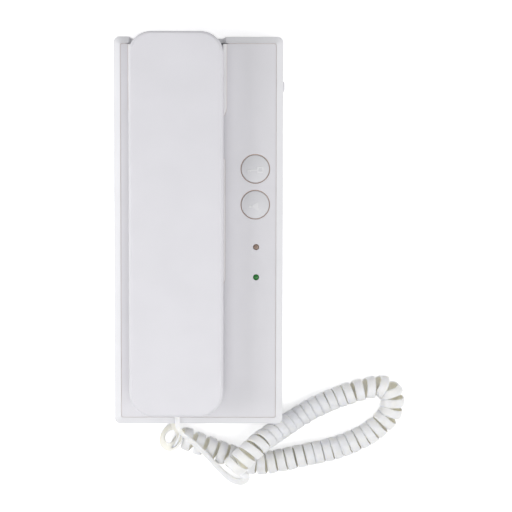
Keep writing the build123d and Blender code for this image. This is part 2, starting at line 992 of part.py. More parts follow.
def make_shell_back():
    """The handset's inner half, with the ear and mouth pieces that rest in the panel's wells."""
    shell = Pos(cradle_x, handset_y, handset_back) * extrude(handset_face(), handset_split - handset_back)
    shell = fillet(shell.edges().group_by(Axis.Z)[0], handset_edge_radius)
    shell = chamfer(shell.edges().group_by(Axis.Z)[-1], seam_chamfer)
    ends = (
        (ear_y, ear_well_radius - bulge_gap, ear_floor),
        (mouth_y, mouth_well_radius - bulge_gap, mouth_floor),
    )
    for y, radius, floor in ends:
        shell += bulge(y, radius, floor, 0)
    shell -= handset_cavity(handset_back + handset_wall, handset_split + overrun)
    for y, radius, floor in ends:
        shell -= bulge(y, radius, floor, -handset_wall)
    shell -= sound_holes(ear_y, ear_floor, ear_hole_radius, ear_hole_circle, ear_hole_count, True)
    shell -= sound_holes(mouth_y, mouth_floor, mouth_hole_radius, mouth_hole_circle, mouth_hole_count, False)
    for y in (handset_screw_upper_y, handset_screw_lower_y):
        shell += rod(cradle_x, y, boss_radius + boss_wall / 2, handset_back + handset_wall, handset_split)
        shell -= rod(cradle_x, y, screw_hole_radius, handset_back, handset_split + overrun)
        shell -= rod(cradle_x, y, head_hole_radius, handset_back - overrun, handset_back + handset_screw_sink)
    return shell - handset_plug_hole()


def sound_holes(y, floor, radius, circle, count, centre):
    """Round holes through the floor of an ear or mouth piece."""
    z0, z1 = floor - overrun, floor + handset_wall + overrun
    places = [(cradle_x, y)] if centre else []
    for i in range(count):
        angle = 2 * math.pi * i / count
        places.append((cradle_x + circle * math.sin(angle), y + circle * math.cos(angle)))
    return Part() + [rod(x, at, radius, z0, z1) for x, at in places]


def make_receiver():
    """The receiver capsule behind the ear holes."""
    bottom = ear_floor + handset_wall + gasket_height
    body = rod(cradle_x, ear_y, receiver_radius - receiver_rim_width, bottom, bottom + receiver_height)
    return body + rod(cradle_x, ear_y, receiver_radius, bottom, bottom + receiver_rim_height)


def make_receiver_gasket():
    """The soft ring between the capsule and the ear piece's floor."""
    bottom = ear_floor + handset_wall
    ring = rod(cradle_x, ear_y, receiver_radius, bottom, bottom + gasket_height)
    return ring - rod(
        cradle_x, ear_y, receiver_radius - gasket_width, bottom - overrun, bottom + gasket_height + overrun
    )


def make_microphone():
    """The microphone capsule in its boot."""
    bottom = mouth_floor + handset_wall + boot_floor
    return rod(cradle_x, mouth_y, microphone_radius, bottom, bottom + microphone_height)


def make_microphone_boot():
    """The rubber boot that holds the microphone over its holes."""
    bottom = mouth_floor + handset_wall
    boot = rod(cradle_x, mouth_y, microphone_radius + boot_wall, bottom, bottom + boot_height)
    boot -= rod(cradle_x, mouth_y, microphone_radius, bottom + boot_floor, bottom + boot_height + overrun)
    return boot - rod(cradle_x, mouth_y, boot_hole_radius, bottom - overrun, bottom + boot_floor + overrun)


def make_weight():
    """The steel weight that holds the hook down."""
    bottom = handset_back + handset_wall
    half = weight_width / 2
    return block(
        cradle_x - half,
        cradle_x + half,
        weight_y - weight_length / 2,
        weight_y + weight_length / 2,
        bottom,
        bottom + weight_height,
    )


def make_handset_screws():
    """The two screws through the handset's back."""
    seat = handset_back + handset_screw_sink
    places = [(cradle_x, y) for y in (handset_screw_upper_y, handset_screw_lower_y)]
    return Compound(children=[screw(x, y, seat, handset_screw_length, 1) for x, y in places])


# Cord


def coil_axis():
    """The coil's axis, and the turn number at each of its equal steps, from the route's pitches."""
    axis = Edge.make_spline([Vector(*place) for place, _ in coil_route])
    runs = [math.dist(a, b) for (a, _), (b, _) in zip(coil_route, coil_route[1:])]
    marks = [sum(runs[:i]) / sum(runs) for i in range(len(coil_route))]
    turns = [0.0]
    for i in range(axis_steps):
        share = (i + 0.5) / axis_steps
        k = bisect.bisect_right(marks, share) - 1
        blend = (share - marks[k]) / (marks[k + 1] - marks[k])
        pitch = coil_route[k][1] * (1 - blend) + coil_route[k + 1][1] * blend
        turns.append(turns[-1] + axis.length / axis_steps / pitch)
    print("turns at the route's pitches", round(turns[-1], 2), "made", coil_turns)
    return axis, [turn * coil_turns / turns[-1] for turn in turns]


def coil_curve(axis, turns, radius):
    """A right-handed helix of the radius round the axis, as a function of the turn number."""

    def curve(turn):
        k = min(max(bisect.bisect_right(turns, turn) - 1, 0), axis_steps - 1)
        wanted = (k + (turn - turns[k]) / (turns[k + 1] - turns[k])) / axis_steps
        share = min(max(wanted, 0.0), 1.0)
        along = axis.tangent_at(share)
        side = Vector(0, 0, 1).cross(along).normalized()
        up = along.cross(side)
        angle = math.radians(coil_start_degrees) + 2 * math.pi * turn
        place = axis.position_at(share) + along * ((wanted - share) * axis.length)
        return place + side * (radius * math.cos(angle)) + up * (radius * math.sin(angle))

    return curve


def make_coil():
    """The wound cord: one flat strip, swept along the helix and sewn into one solid, and its two ends."""
    axis, turns = coil_axis()
    curve = coil_curve(axis, turns, coil_radius)
    guide = coil_curve(axis, turns, coil_radius + coil_guide)
    count = math.ceil(coil_turns / coil_chunk_turns)
    cuts = [coil_turns * i / count for i in range(count + 1)]
    start, start_way = curve(0), way_along(curve, 0)
    outward = (guide(0) - start).normalized()
    section = (Plane(origin=start, x_dir=outward, z_dir=start_way) * Rectangle(cord_thickness, cord_width)).face()
    walls = []
    first_end = None
    for a, b in zip(cuts, cuts[1:]):
        path = Wire(wound_wire(curve, a, b))
        piece = Solid.sweep(section, path, mode=Wire(wound_wire(guide, a, b)))
        faces = list(piece.faces())
        near = min(faces, key=lambda face: (face.center() - curve(a)).length)
        far = min(faces, key=lambda face: (face.center() - curve(b)).length)
        walls += [face for face in faces if face is not near and face is not far]
        if first_end is None:
            first_end = near
        section = far
    for end, way in ((first_end, start_way * -1), (section, way_along(curve, coil_turns))):
        run = Solid.extrude(end, way * end_run)
        faces = sorted(run.faces(), key=lambda face: (face.center() - end.center()).length)
        walls += faces[1:]
    coil = Solid(Shell(walls))
    places = [curve(i / points_per_turn) for i in range(math.floor(coil_turns * points_per_turn) + 1)]
    sides = [(guide(i / points_per_turn) - place).normalized() for i, place in enumerate(places)]
    length = sum((b - a).length for a, b in zip(places, places[1:]))
    plain = cord_width * cord_thickness * (length + 2 * end_run)
    print("coil's length", round(length), "volume", round(coil.volume), "section times length", round(plain))
    print("coil's least gap to itself", round(coil_gap(places, sides), 2))
    return coil


def coil_gap(places, sides):
    """The least gap between turns, on points: each pair's distance less the reach of both flat sections."""
    sections = []
    for before, place, after, side in zip(places, places[1:], places[2:], sides[1:]):
        across = (after - before).normalized().cross(side)
        sections.append((tuple(place), tuple(side * (cord_thickness / 2)), tuple(across * (cord_width / 2))))
    least = math.inf
    for i, (place, *halves) in enumerate(sections):
        for other, *other_halves in sections[i + points_per_turn // 2:]:
            distance = math.dist(place, other)
            if distance > 2 * cord_width:
                continue
            between = [(b - a) / distance for a, b in zip(place, other)]
            reach = sum(abs(sum(a * b for a, b in zip(between, half))) for half in halves + other_halves)
            least = min(least, distance - reach)
    return least


def coil_end(turn, side):
    """The outer end of one of the coil's straight end runs, and the direction out of it."""
    curve = coil_curve(*coil_axis(), coil_radius)
    way = way_along(curve, turn) * side
    return curve(turn) + way * end_run, way


def make_handset_lead():
    """The cord's straight stretch from the handset's plug, over the coil and round into its first turn."""
    outer, way = coil_end(0, -1)
    places = [Vector(cradle_x, handset_bottom, handset_plug_z)]
    places.append(places[0] - Vector(0, lead_exit_run, 0))
    places += [Vector(*place) for place in handset_lead_route]
    places += [outer + way * lead_end_run, outer]
    radii = []
    for a, b, c in zip(places, places[1:], places[2:]):
        turn = math.radians((b - a).get_angle(c - b))
        radii.append(bend_share * min((b - a).length, (c - b).length) / math.tan(turn / 2))
    print("handset lead's radii", [round(radius, 1) for radius in radii])
    path = FilletPolyline(*places, radius=radii)
    section = Plane(origin=places[0], z_dir=places[1] - places[0]) * Circle(cord_radius)
    tube = sweep(section, path)
    plain = math.pi * cord_radius**2 * path.length
    print("handset lead's length", round(path.length, 1), "volume", round(tube.volume, 1), "plain", round(plain, 1))
    return tube


def make_base_lead():
    """The cord's short straight stretch from its last turn into the base's plug, square to both."""
    outer, way = coil_end(coil_turns, 1)
    plug = Vector(base_jack_x, -base_height / 2, base_jack_z)
    print("base lead from", outer, "along", way, "to", plug)
    ends = [Plane(origin=outer, z_dir=way), Plane(origin=plug, z_dir=Vector(0, 1, 0))]
    return loft([end * Circle(cord_radius) for end in ends], ruled=True)


if __name__ == "__main__":
    os.makedirs("parts", exist_ok=True)
    plug_back = -base_height / 2
    pieces = {
        "rear_case": make_rear_case(),
        "front_panel": make_front_panel(),
        "door_button": make_button(door_button_y),
        "call_button": make_button(call_button_y),
        "door_switch": make_tact_switch(door_button_y),
        "call_switch": make_tact_switch(call_button_y),
        "call_lamp": make_lamp(call_lamp_y),
        "power_lamp": make_lamp(power_lamp_y),
        "main_board": make_main_board(),
        "board_parts": make_board_parts(),
        "terminal_block": make_terminal_block(),
        "terminal_screws": make_terminal_screws(),
        "hook_plunger": make_hook_plunger(),
        "hook_switch": make_hook_switch(),
        "hook_spring": make_hook_spring(),
        "volume_switch": make_volume_switch(),
        "volume_slider": make_volume_slider(),
        "call_sounder": make_call_sounder(),
        "base_jack": make_jack(base_jack_x, plug_back + case_wall, base_jack_z, base_jack_length),
        "base_plug": make_plug(base_jack_x, plug_back, base_jack_z),
        "panel_screws": make_panel_screws(),
        "board_screws": make_board_screws(),
        "handset_shell_front": make_shell_front(),
        "handset_shell_back": make_shell_back(),
        "handset_screws": make_handset_screws(),
        "handset_weight": make_weight(),
        "receiver_capsule": make_receiver(),
        "receiver_gasket": make_receiver_gasket(),
        "microphone_capsule": make_microphone(),
        "microphone_boot": make_microphone_boot(),
        "handset_jack": make_jack(cradle_x, handset_bottom + handset_wall, handset_plug_z, handset_jack_length),
        "handset_plug": make_plug(cradle_x, handset_bottom, handset_plug_z),
        "handset_lead": make_handset_lead(),
        "cord_coil": make_coil(),
        "base_lead": make_base_lead(),
    }
    for name, piece in pieces.items():
        export_step(piece, f"parts/{name}.step")
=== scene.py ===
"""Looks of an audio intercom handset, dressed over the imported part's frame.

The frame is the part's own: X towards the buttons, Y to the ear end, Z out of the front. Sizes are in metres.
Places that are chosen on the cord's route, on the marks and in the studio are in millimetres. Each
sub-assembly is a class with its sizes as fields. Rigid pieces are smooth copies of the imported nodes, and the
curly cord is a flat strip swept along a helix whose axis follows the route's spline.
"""

import logging
import math
from collections.abc import Callable, Iterable, Sequence
from dataclasses import dataclass
from enum import Enum

import bmesh
import bpy
import numpy as np
from mathutils import Matrix, Vector


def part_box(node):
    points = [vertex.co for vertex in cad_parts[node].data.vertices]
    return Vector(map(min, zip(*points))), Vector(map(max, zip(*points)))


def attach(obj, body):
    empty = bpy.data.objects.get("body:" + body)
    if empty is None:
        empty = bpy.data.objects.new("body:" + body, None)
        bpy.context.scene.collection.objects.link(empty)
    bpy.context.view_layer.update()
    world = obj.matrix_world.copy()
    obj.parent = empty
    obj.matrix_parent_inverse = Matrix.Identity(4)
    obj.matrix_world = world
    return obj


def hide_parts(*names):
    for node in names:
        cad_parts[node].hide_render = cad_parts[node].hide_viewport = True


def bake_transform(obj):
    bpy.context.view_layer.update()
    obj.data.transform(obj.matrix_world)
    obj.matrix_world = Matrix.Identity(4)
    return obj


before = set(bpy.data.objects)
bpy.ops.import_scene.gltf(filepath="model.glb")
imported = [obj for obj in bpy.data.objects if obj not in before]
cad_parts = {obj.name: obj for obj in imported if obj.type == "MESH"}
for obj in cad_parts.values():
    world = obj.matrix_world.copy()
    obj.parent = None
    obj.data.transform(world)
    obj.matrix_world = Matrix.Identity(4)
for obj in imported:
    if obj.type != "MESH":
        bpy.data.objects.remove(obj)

log = logging.getLogger("intercom")

MM = 0.001
MERGE_DISTANCE = 0.002 * MM
FLAT_DEGREES = 0.3
SKIN_SHARP_DEGREES = 32.0
RING_SHARP_DEGREES = 40.0
SMALL_SHARP_DEGREES = 50.0
STRIP_SHARP_DEGREES = 60.0
SPLINE_ORDER = 3
SPLINE_RESOLUTION = 32
BEVEL_SAMPLES = 4
MARK_EDGE_STEPS = 2
UP = Vector((0.0, 0.0, 1.0))
EARWARD = Vector((0.0, 1.0, 0.0))
BUTTONWARD = Vector((1.0, 0.0, 0.0))

# The colour sockets of a Mix node
MIX_SHARE, MIX_FIRST, MIX_SECOND, MIX_RESULT = 0, 6, 7, 2

Colour = tuple[float, float, float]
Point = tuple[float, float, float]
Outline = list[tuple[float, float]]
Socket = bpy.types.NodeSocket
Tree = bpy.types.NodeTree
Material = bpy.types.Material
Mesh = bpy.types.Mesh
Piece = bpy.types.Object
BMesh = bmesh.types.BMesh

WHITE: Colour = (1.0, 1.0, 1.0)


class Body(str, Enum):
    """The bodies that pieces ride on."""

    BASE = "base"
    HANDSET = "handset"
    HOOK = "hook"
    DOOR_PUSH = "door_push"
    CALL_PUSH = "call_push"
    VOLUME_KNOB = "volume_knob"


class Slot(str, Enum):
    """The record's material slots."""

    CASE = "case_white"
    PANEL = "panel_white"
    HANDSET = "handset_white"
    BUTTON = "button_grey"
    AMBER = "lamp_amber"
    GREEN = "lamp_green"
    CORD = "cord_white"
    PLUG = "plug_clear"
    BLACK = "mechanism_black"
    STEEL = "steel"


class Detail(float, Enum):
    """How many octaves of finer noise a pattern has."""

    SOFT = 2.0
    EVEN = 3.0
    FINE = 4.0


def shade(red: float, green: float, blue: float) -> Colour:
    """A display colour, from 0 to 255 a channel, as linear light by the sRGB curve."""
    shares = [channel / 255 for channel in (red, green, blue)]
    return tuple(s / 12.92 if s <= 0.04045 else ((s + 0.055) / 1.055) ** 2.4 for s in shares)


def in_metres(points: Iterable[Point]) -> list[Vector]:
    """Points given in millimetres, in metres."""
    return [Vector(p) * MM for p in points]


# Finishes


def seen_rays(tree: Tree) -> Socket:
    """A value that is 1 on camera, glossy and transmission rays, and 0 on all others.

    Args:
        tree: The node tree that it is for.

    Returns:
        The value's socket.
    """
    rays = tree.nodes.new("ShaderNodeLightPath").outputs
    seen = rays["Is Camera Ray"]
    for name in ("Is Glossy Ray", "Is Transmission Ray"):
        either = tree.nodes.new("ShaderNodeMath")
        either.operation = "MAXIMUM"
        tree.links.new(seen, either.inputs[0])
        tree.links.new(rays[name], either.inputs[1])
        seen = either.outputs[0]
    return seen


class Recipe:
    """The nodes of one material, laid down in order round a Principled shader."""

    def __init__(self, name: str) -> None:
        """Start a material.

        Args:
            name: The material's name.
        """
        self.material = bpy.data.materials.new(name)
        self.material.use_nodes = True
        self.tree = self.material.node_tree
        self.tree.nodes.clear()
        self.shader = self.add("ShaderNodeBsdfPrincipled")
        output = self.add("ShaderNodeOutputMaterial")
        self.join(self.shader.outputs["BSDF"], output.inputs["Surface"])
        self.coords = self.add("ShaderNodeTexCoord").outputs["Object"]

    def add(self, kind: str, **settings: object) -> bpy.types.Node:
        """Add a node.

        Args:
            kind: The node's type.
            settings: Properties to set on it.

        Returns:
            The node.
        """
        node = self.tree.nodes.new(kind)
        for key, value in settings.items():
            setattr(node, key, value)
        return node

    def join(self, source: Socket, target: Socket) -> None:
        """Link two sockets."""
        self.tree.links.new(source, target)

    def feed(self, name: str, source: Socket) -> None:
        """Link a socket to the shader's own of a name."""
        self.join(source, self.shader.inputs[name])

    def fix(self, **values: object) -> None:
        """Set the shader's own sockets.

        Args:
            values: Each socket's number or colour, its name written with underscores.
        """
        for key, value in values.items():
            name = key.replace("_", " ")
            self.shader.inputs[name].default_value = (*value, 1.0) if isinstance(value, tuple) else value

    def stretched(self, scale: Point) -> Socket:
        """Object coordinates stretched along each axis.

        Args:
            scale: The scale along each axis.

        Returns:
            The coordinates.
        """
        node = self.add("ShaderNodeMapping")
        node.inputs["Scale"].default_value = scale
        self.join(self.coords, node.inputs["Vector"])
        return node.outputs["Vector"]

    def noise(self, size: float, detail: Detail = Detail.SOFT, vector: Socket | None = None) -> Socket:
        """Noise with features of a real size.

        Args:
            size: The features' size in metres.
            detail: How much finer noise it has.
            vector: Coordinates, or none for the object's own.

        Returns:
            The noise's value.
        """
        node = self.add("ShaderNodeTexNoise")
        node.inputs["Scale"].default_value = 1.0 / size
        node.inputs["Detail"].default_value = detail.value
        self.join(vector or self.coords, node.inputs["Vector"])
        return node.outputs[0]

    def spread(self, source: Socket, low: float, high: float, start: float = 0.3, end: float = 0.7) -> Socket:
        """A value mapped from one range onto another.

        Args:
            source: The value.
            low: What start becomes.
            high: What end becomes.
            start: The lower end of the value's range.
            end: The upper end of the value's range.

        Returns:
            The mapped value.
        """
        node = self.add("ShaderNodeMapRange")
        for name, value in (("From Min", start), ("From Max", end), ("To Min", low), ("To Max", high)):
            node.inputs[name].default_value = value
        self.join(source, node.inputs["Value"])
        return node.outputs["Result"]

    def tint(self, share: Socket, first: Colour, second: Colour) -> None:
        """Colour the shader with two colours mixed by a share.

        Args:
            share: 0 gives the first colour and 1 the second.
            first: The first colour.
            second: The second colour.
        """
        node = self.add("ShaderNodeMix", data_type="RGBA")
        self.join(share, node.inputs[MIX_SHARE])
        node.inputs[MIX_FIRST].default_value = (*first, 1.0)
        node.inputs[MIX_SECOND].default_value = (*second, 1.0)
        self.feed("Base Color", node.outputs[MIX_RESULT])

    def mottle(self, pattern: Socket, colour: Colour, darker: float) -> None:
        """Colour the shader, darker by a share where a pattern is high."""
        deep = tuple(channel * (1 - darker) for channel in colour)
        self.tint(self.spread(pattern, 0.0, 1.0), colour, deep)

    def wear(self, pattern: Socket, low: float, high: float) -> None:
        """Give the shader a roughness that runs from low to high by a pattern."""
        self.feed("Roughness", self.spread(pattern, low, high))

    def relief(self, height: Socket, depth: float, edge_radius: float = 0.0) -> None:
        """Bump the shader's normal, and round its sharp edges.

        Args:
            height: The height, from 0 to 1.
            depth: How deep that is, in metres.
            edge_radius: The radius that sharp edges seem to have.
        """
        node = self.add("ShaderNodeBump")
        node.inputs["Distance"].default_value = depth
        self.join(height, node.inputs["Height"])
        if edge_radius:
            edges = self.add("ShaderNodeBevel", samples=BEVEL_SAMPLES)
            edges.inputs["Radius"].default_value = edge_radius
            self.join(edges.outputs["Normal"], node.inputs["Normal"])
        self.feed("Normal", node.outputs["Normal"])


@dataclass(frozen=True)
class Finish:
    """What every finish has: a name and a way to make its material once."""

    name: str

    def material(self) -> Material:
        """The finish's material, made the first time that it is asked for.

        Returns:
            The material.
        """
        made = bpy.data.materials.get(self.name)
        if made is None:
            recipe = Recipe(self.name)
            self.mix_up(recipe)
            made = recipe.material
        return made

    def mix_up(self, recipe: Recipe) -> None:
        """Lay down the finish's nodes."""
        raise NotImplementedError


@dataclass(frozen=True)
class MouldedPlastic(Finish):
    """Injection moulded plastic with the fine grain of its mould and faint clouding."""

    colour: Colour
    roughness: float
    roughness_fall: float = 0.04
    roughness_rise: float = 0.05
    grain_size: float = 0.5 * MM
    grain_depth: float = 0.012 * MM
    cloud_size: float = 24 * MM
    cloud_share: float = 0.035
    smear_size: float = 8 * MM
    edge_radius: float = 0.25 * MM

    def mix_up(self, recipe: Recipe) -> None:
        """Lay down clouded colour, uneven roughness and grain.

        Args:
            recipe: The material's nodes.
        """
        recipe.mottle(recipe.noise(self.cloud_size, Detail.EVEN), self.colour, self.cloud_share)
        smears = recipe.noise(self.smear_size, Detail.FINE)
        recipe.wear(smears, self.roughness - self.roughness_fall, self.roughness + self.roughness_rise)
        recipe.relief(recipe.noise(self.grain_size, Detail.EVEN), self.grain_depth, self.edge_radius)


@dataclass(frozen=True)
class CordCover(Finish):
    """The cord's soft cover, with painted light on the faces that turn inwards, which are warmer and a little
    paler.
    """

    colour: Colour
    inward_painted_light: Colour
    roughness: float
    roughness_fall: float = 0.05
    roughness_rise: float = 0.06
    mark_size: float = 2.2 * MM
    grain_size: float = 0.7 * MM
    grain_depth: float = 0.015 * MM
    refraction: float = 1.47
    sheen: float = 0.05
    glow: float = 0.8
    glow_radius: Point = (4.0 * MM, 3.8 * MM, 3.2 * MM)

    def mix_up(self, recipe: Recipe) -> None:
        """Lay down the cover's colour, with painted light on the inward faces by the strip's inner attribute,
        and faint drag marks.

        Args:
            recipe: The material's nodes.
        """
        inner = recipe.add("ShaderNodeAttribute", attribute_name="inner").outputs["Fac"]
        # Painted light: a warmer, paler colour on the inward faces stands in for light between the turns.
        recipe.tint(inner, self.colour, self.inward_painted_light)
        marks = recipe.noise(self.mark_size, Detail.FINE)
        recipe.wear(marks, self.roughness - self.roughness_fall, self.roughness + self.roughness_rise)
        recipe.relief(recipe.noise(self.grain_size, Detail.EVEN), self.grain_depth)
        recipe.fix(IOR=self.refraction, Sheen_Weight=self.sheen)
        recipe.fix(Subsurface_Weight=self.glow, Subsurface_Scale=1.0)
        recipe.shader.inputs["Subsurface Radius"].default_value = self.glow_radius


@dataclass(frozen=True)
class LampLens(Finish):
    """A small tinted lamp lens, paler towards its rim with painted light that offsets the shade at its hole's
    edge.
    """

    colour: Colour
    rim_painted_light: Colour
    centre: Point
    radius: float = 1.5 * MM
    middle_share: float = 0.3
    grain_size: float = 0.6 * MM
    grain_depth: float = 0.004 * MM
    roughness: float = 0.3
    refraction: float = 1.4
    coat: float = 0.15
    coat_roughness: float = 0.1

    def mix_up(self, recipe: Recipe) -> None:
        """Lay down a tint that pales outwards as painted light, under a thin gloss.

        Args:
            recipe: The material's nodes.
        """
        reach = recipe.add("ShaderNodeVectorMath", operation="DISTANCE")
        reach.inputs[1].default_value = self.centre
        recipe.join(recipe.coords, reach.inputs[0])
        share = recipe.spread(reach.outputs["Value"], 0.0, 1.0, self.middle_share * self.radius, self.radius)
        # Painted light: the tint pales towards the rim.
        recipe.tint(share, self.colour, self.rim_painted_light)
        recipe.relief(recipe.noise(self.grain_size), self.grain_depth)
        recipe.fix(Roughness=self.roughness, IOR=self.refraction)
        recipe.fix(Coat_Weight=self.coat, Coat_Roughness=self.coat_roughness)


@dataclass(frozen=True)
class ClearPlastic(Finish):
    """Clear moulded plastic, as plugs are made of."""

    colour: Colour
    haze: float = 0.12
    haze_rise: float = 0.08
    darker: float = 0.06
    flow_size: float = 1.5 * MM
    flow_depth: float = 0.01 * MM
    flow_stretch: Point = (1.0, 0.25, 1.0)
    refraction: float = 1.55
    clearness: float = 0.75

    def mix_up(self, recipe: Recipe) -> None:
        """Lay down hazy clear plastic with faint flow marks.

        Args:
            recipe: The material's nodes.
        """
        flow = recipe.noise(self.flow_size, Detail.EVEN, recipe.stretched(self.flow_stretch))
        recipe.mottle(flow, self.colour, self.darker)
        recipe.wear(flow, self.haze, self.haze + self.haze_rise)
        recipe.relief(flow, self.flow_depth)
        recipe.fix(IOR=self.refraction, Transmission_Weight=self.clearness)


@dataclass(frozen=True)
class Plating(Finish):
    """Plated or drawn metal."""

    colour: Colour
    roughness: float
    roughness_fall: float = 0.07
    roughness_rise: float = 0.08
    darker: float = 0.15
    streak_size: float = 0.6 * MM
    streak_depth: float = 0.006 * MM
    streak_stretch: Point = (1.0, 1.0, 0.15)

    def mix_up(self, recipe: Recipe) -> None:
        """Lay down metal with drawn streaks.

        Args:
            recipe: The material's nodes.
        """
        streaks = recipe.noise(self.streak_size, Detail.FINE, recipe.stretched(self.streak_stretch))
        recipe.mottle(streaks, self.colour, self.darker)
        recipe.wear(streaks, self.roughness - self.roughness_fall, self.roughness + self.roughness_rise)
        recipe.relief(streaks, self.streak_depth)
        recipe.fix(Metallic=1.0)


@dataclass(frozen=True)
class Laminate(Finish):
    """A circuit board's solder mask over woven glass."""

    colour: Colour
    roughness: float = 0.3
    roughness_rise: float = 0.12
    darker: float = 0.3
    patch_size: float = 3 * MM
    weave_span: float = 18 * MM
    weave_depth: float = 0.008 * MM

    def mix_up(self, recipe: Recipe) -> None:
        """Lay down a mask whose gloss shows the weave under it.

        Args:
            recipe: The material's nodes.
        """
        crossing = recipe.add("ShaderNodeMath", operation="MULTIPLY")
        for direction, target in zip("XY", crossing.inputs):
            wave = recipe.add("ShaderNodeTexWave", bands_direction=direction)
            wave.inputs["Scale"].default_value = 1.0 / self.weave_span
            recipe.join(recipe.coords, wave.inputs["Vector"])
            recipe.join(wave.outputs["Fac"], target)
        weave = crossing.outputs[0]
        recipe.mottle(weave, self.colour, self.darker)
        recipe.wear(recipe.noise(self.patch_size), self.roughness, self.roughness + self.roughness_rise)
        recipe.relief(weave, self.weave_depth)


@dataclass(frozen=True)
class TableTop(Finish):
    """The pale floor, lifted towards white where the camera sees it."""

    colour: Colour
    lift: float
    roughness: float = 0.9
    gloss: float = 0.1

    def mix_up(self, recipe: Recipe) -> None:
        """Lay down a matt floor with a lift on camera, glossy and transmission rays.

        Args:
            recipe: The material's nodes.
        """
        recipe.fix(Base_Color=self.colour, Roughness=self.roughness, Specular_IOR_Level=self.gloss)
        recipe.fix(Emission_Color=WHITE)
        strength = recipe.add("ShaderNodeMath", operation="MULTIPLY")
        strength.inputs[1].default_value = self.lift
        recipe.join(seen_rays(recipe.tree), strength.inputs[0])
        recipe.feed("Emission Strength", strength.outputs[0])


CASE_FINISH = MouldedPlastic("case_satin", shade(229, 229, 232), 0.4)
PANEL_FINISH = MouldedPlastic(
    "panel_matt", shade(222, 221, 225), 0.55, grain_size=0.6 * MM, grain_depth=0.03 * MM
)
HANDSET_FINISH = MouldedPlastic("handset_satin", shade(218, 217, 222), 0.42)
BUTTON_FINISH = MouldedPlastic("button_satin", shade(215, 215, 218), 0.45, edge_radius=0.15 * MM)
MARK_FINISH = MouldedPlastic("mark_satin", shade(224, 224, 226), 0.35, edge_radius=0.05 * MM)
# Painted shade: a brownish ring stands in for the shadow in the gap round each button.
COLLAR_PAINTED_SHADE = MouldedPlastic("collar_painted_shade", shade(196, 172, 158), 0.6, edge_radius=0.05 * MM)
# Painted light: a near-white ledge beside the handset's edge stands in for light in the trough there.
LEDGE_PAINTED_LIGHT = MouldedPlastic("ledge_painted_light", shade(250, 249, 250), 0.5, edge_radius=0.1 * MM)
# Painted shade: a darker line stands in for the shadow in the seam's gap and at the hollows' edges.
SEAM_PAINTED_SHADE = MouldedPlastic("seam_painted_shade", shade(214, 205, 204), 0.6, edge_radius=0.05 * MM)
# The cord's second colour is painted light for the inward faces.
CORD_FINISH = CordCover("cord_cover", shade(240, 240, 239), shade(246, 242, 226), 0.42)
PLUG_FINISH = ClearPlastic("plug_clear_moulding", shade(226, 228, 229))
BLACK_FINISH = MouldedPlastic("mechanism_moulding", shade(40, 40, 41), 0.45, edge_radius=0.1 * MM)
RUBBER_FINISH = MouldedPlastic("soft_rubber", shade(38, 37, 36), 0.8, grain_depth=0.04 * MM)
TERMINAL_FINISH = MouldedPlastic("terminal_moulding", shade(66, 148, 92), 0.45, edge_radius=0.1 * MM)
BOARD_FINISH = Laminate("board_mask", shade(44, 112, 62))
STEEL_FINISH = Plating("zinc_plating", shade(200, 201, 203), 0.3)
SPRING_FINISH = Plating("spring_wire", shade(206, 205, 200), 0.24, streak_size=0.3 * MM)
SOLDER_FINISH = Plating("solder", shade(214, 214, 212), 0.28)
FLOOR_FINISH = TableTop("pale_floor", shade(244, 244, 245), 0.5)


# Mesh helpers


def add_object(name: str, data: bpy.types.ID) -> Piece:
    """Make an object of some data and put it into the scene.

    Args:
        name: The object's name.
        data: Its mesh, curve, light or camera.

    Returns:
        The object.
    """
    made = bpy.data.objects.new(name, data)
    bpy.context.scene.collection.objects.link(made)
    return made


def settled(helper: Piece) -> Mesh:
    """The mesh that a helper object has once its modifiers have run. The helper is removed.

    Args:
        helper: The helper.

    Returns:
        The mesh.
    """
    depsgraph = bpy.context.evaluated_depsgraph_get()
    mesh = bpy.data.meshes.new_from_object(
        helper.evaluated_get(depsgraph), preserve_all_data_layers=True, depsgraph=depsgraph
    )
    data = helper.data
    bpy.data.objects.remove(helper)
    store = bpy.data.curves if isinstance(data, bpy.types.Curve) else bpy.data.meshes
    store.remove(data)
    return mesh


def shade_smooth(bm: BMesh, sharp_degrees: float) -> None:
    """Smooth a mesh's faces and keep the edges that turn by more than an angle sharp.

    Args:
        bm: The mesh.
        sharp_degrees: The least angle of a sharp edge.
    """
    limit = math.radians(sharp_degrees)
    for face in bm.faces:
        face.smooth = True
    for edge in bm.edges:
        edge.smooth = len(edge.link_faces) == 2 and edge.calc_face_angle(0.0) < limit


def smooth_shell(mesh: Mesh, sharp_degrees: float, merge: bool = False) -> Mesh:
    """Turn the faces of closed shells outwards and smooth them.

    Args:
        mesh: The shells' mesh.
        sharp_degrees: The least angle of a sharp edge.
        merge: Whether doubles are merged first.

    Returns:
        The same mesh.
    """
    bm = bmesh.new()
    bm.from_mesh(mesh)
    if merge:
        bmesh.ops.remove_doubles(bm, verts=bm.verts, dist=MERGE_DISTANCE)
    bmesh.ops.recalc_face_normals(bm, faces=bm.faces)
    shade_smooth(bm, sharp_degrees)
    bm.to_mesh(mesh)
    bm.free()
    return mesh


def dress(obj: Piece, body: Body, finish: Finish) -> Piece:
    """Give a piece its body and material.

    Args:
        obj: The piece.
        body: The body that it rides on.
        finish: Its finish.

    Returns:
        The piece.
    """
    obj.data.materials.clear()
    obj.data.materials.append(finish.material())
    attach(obj, body.value)
    return obj


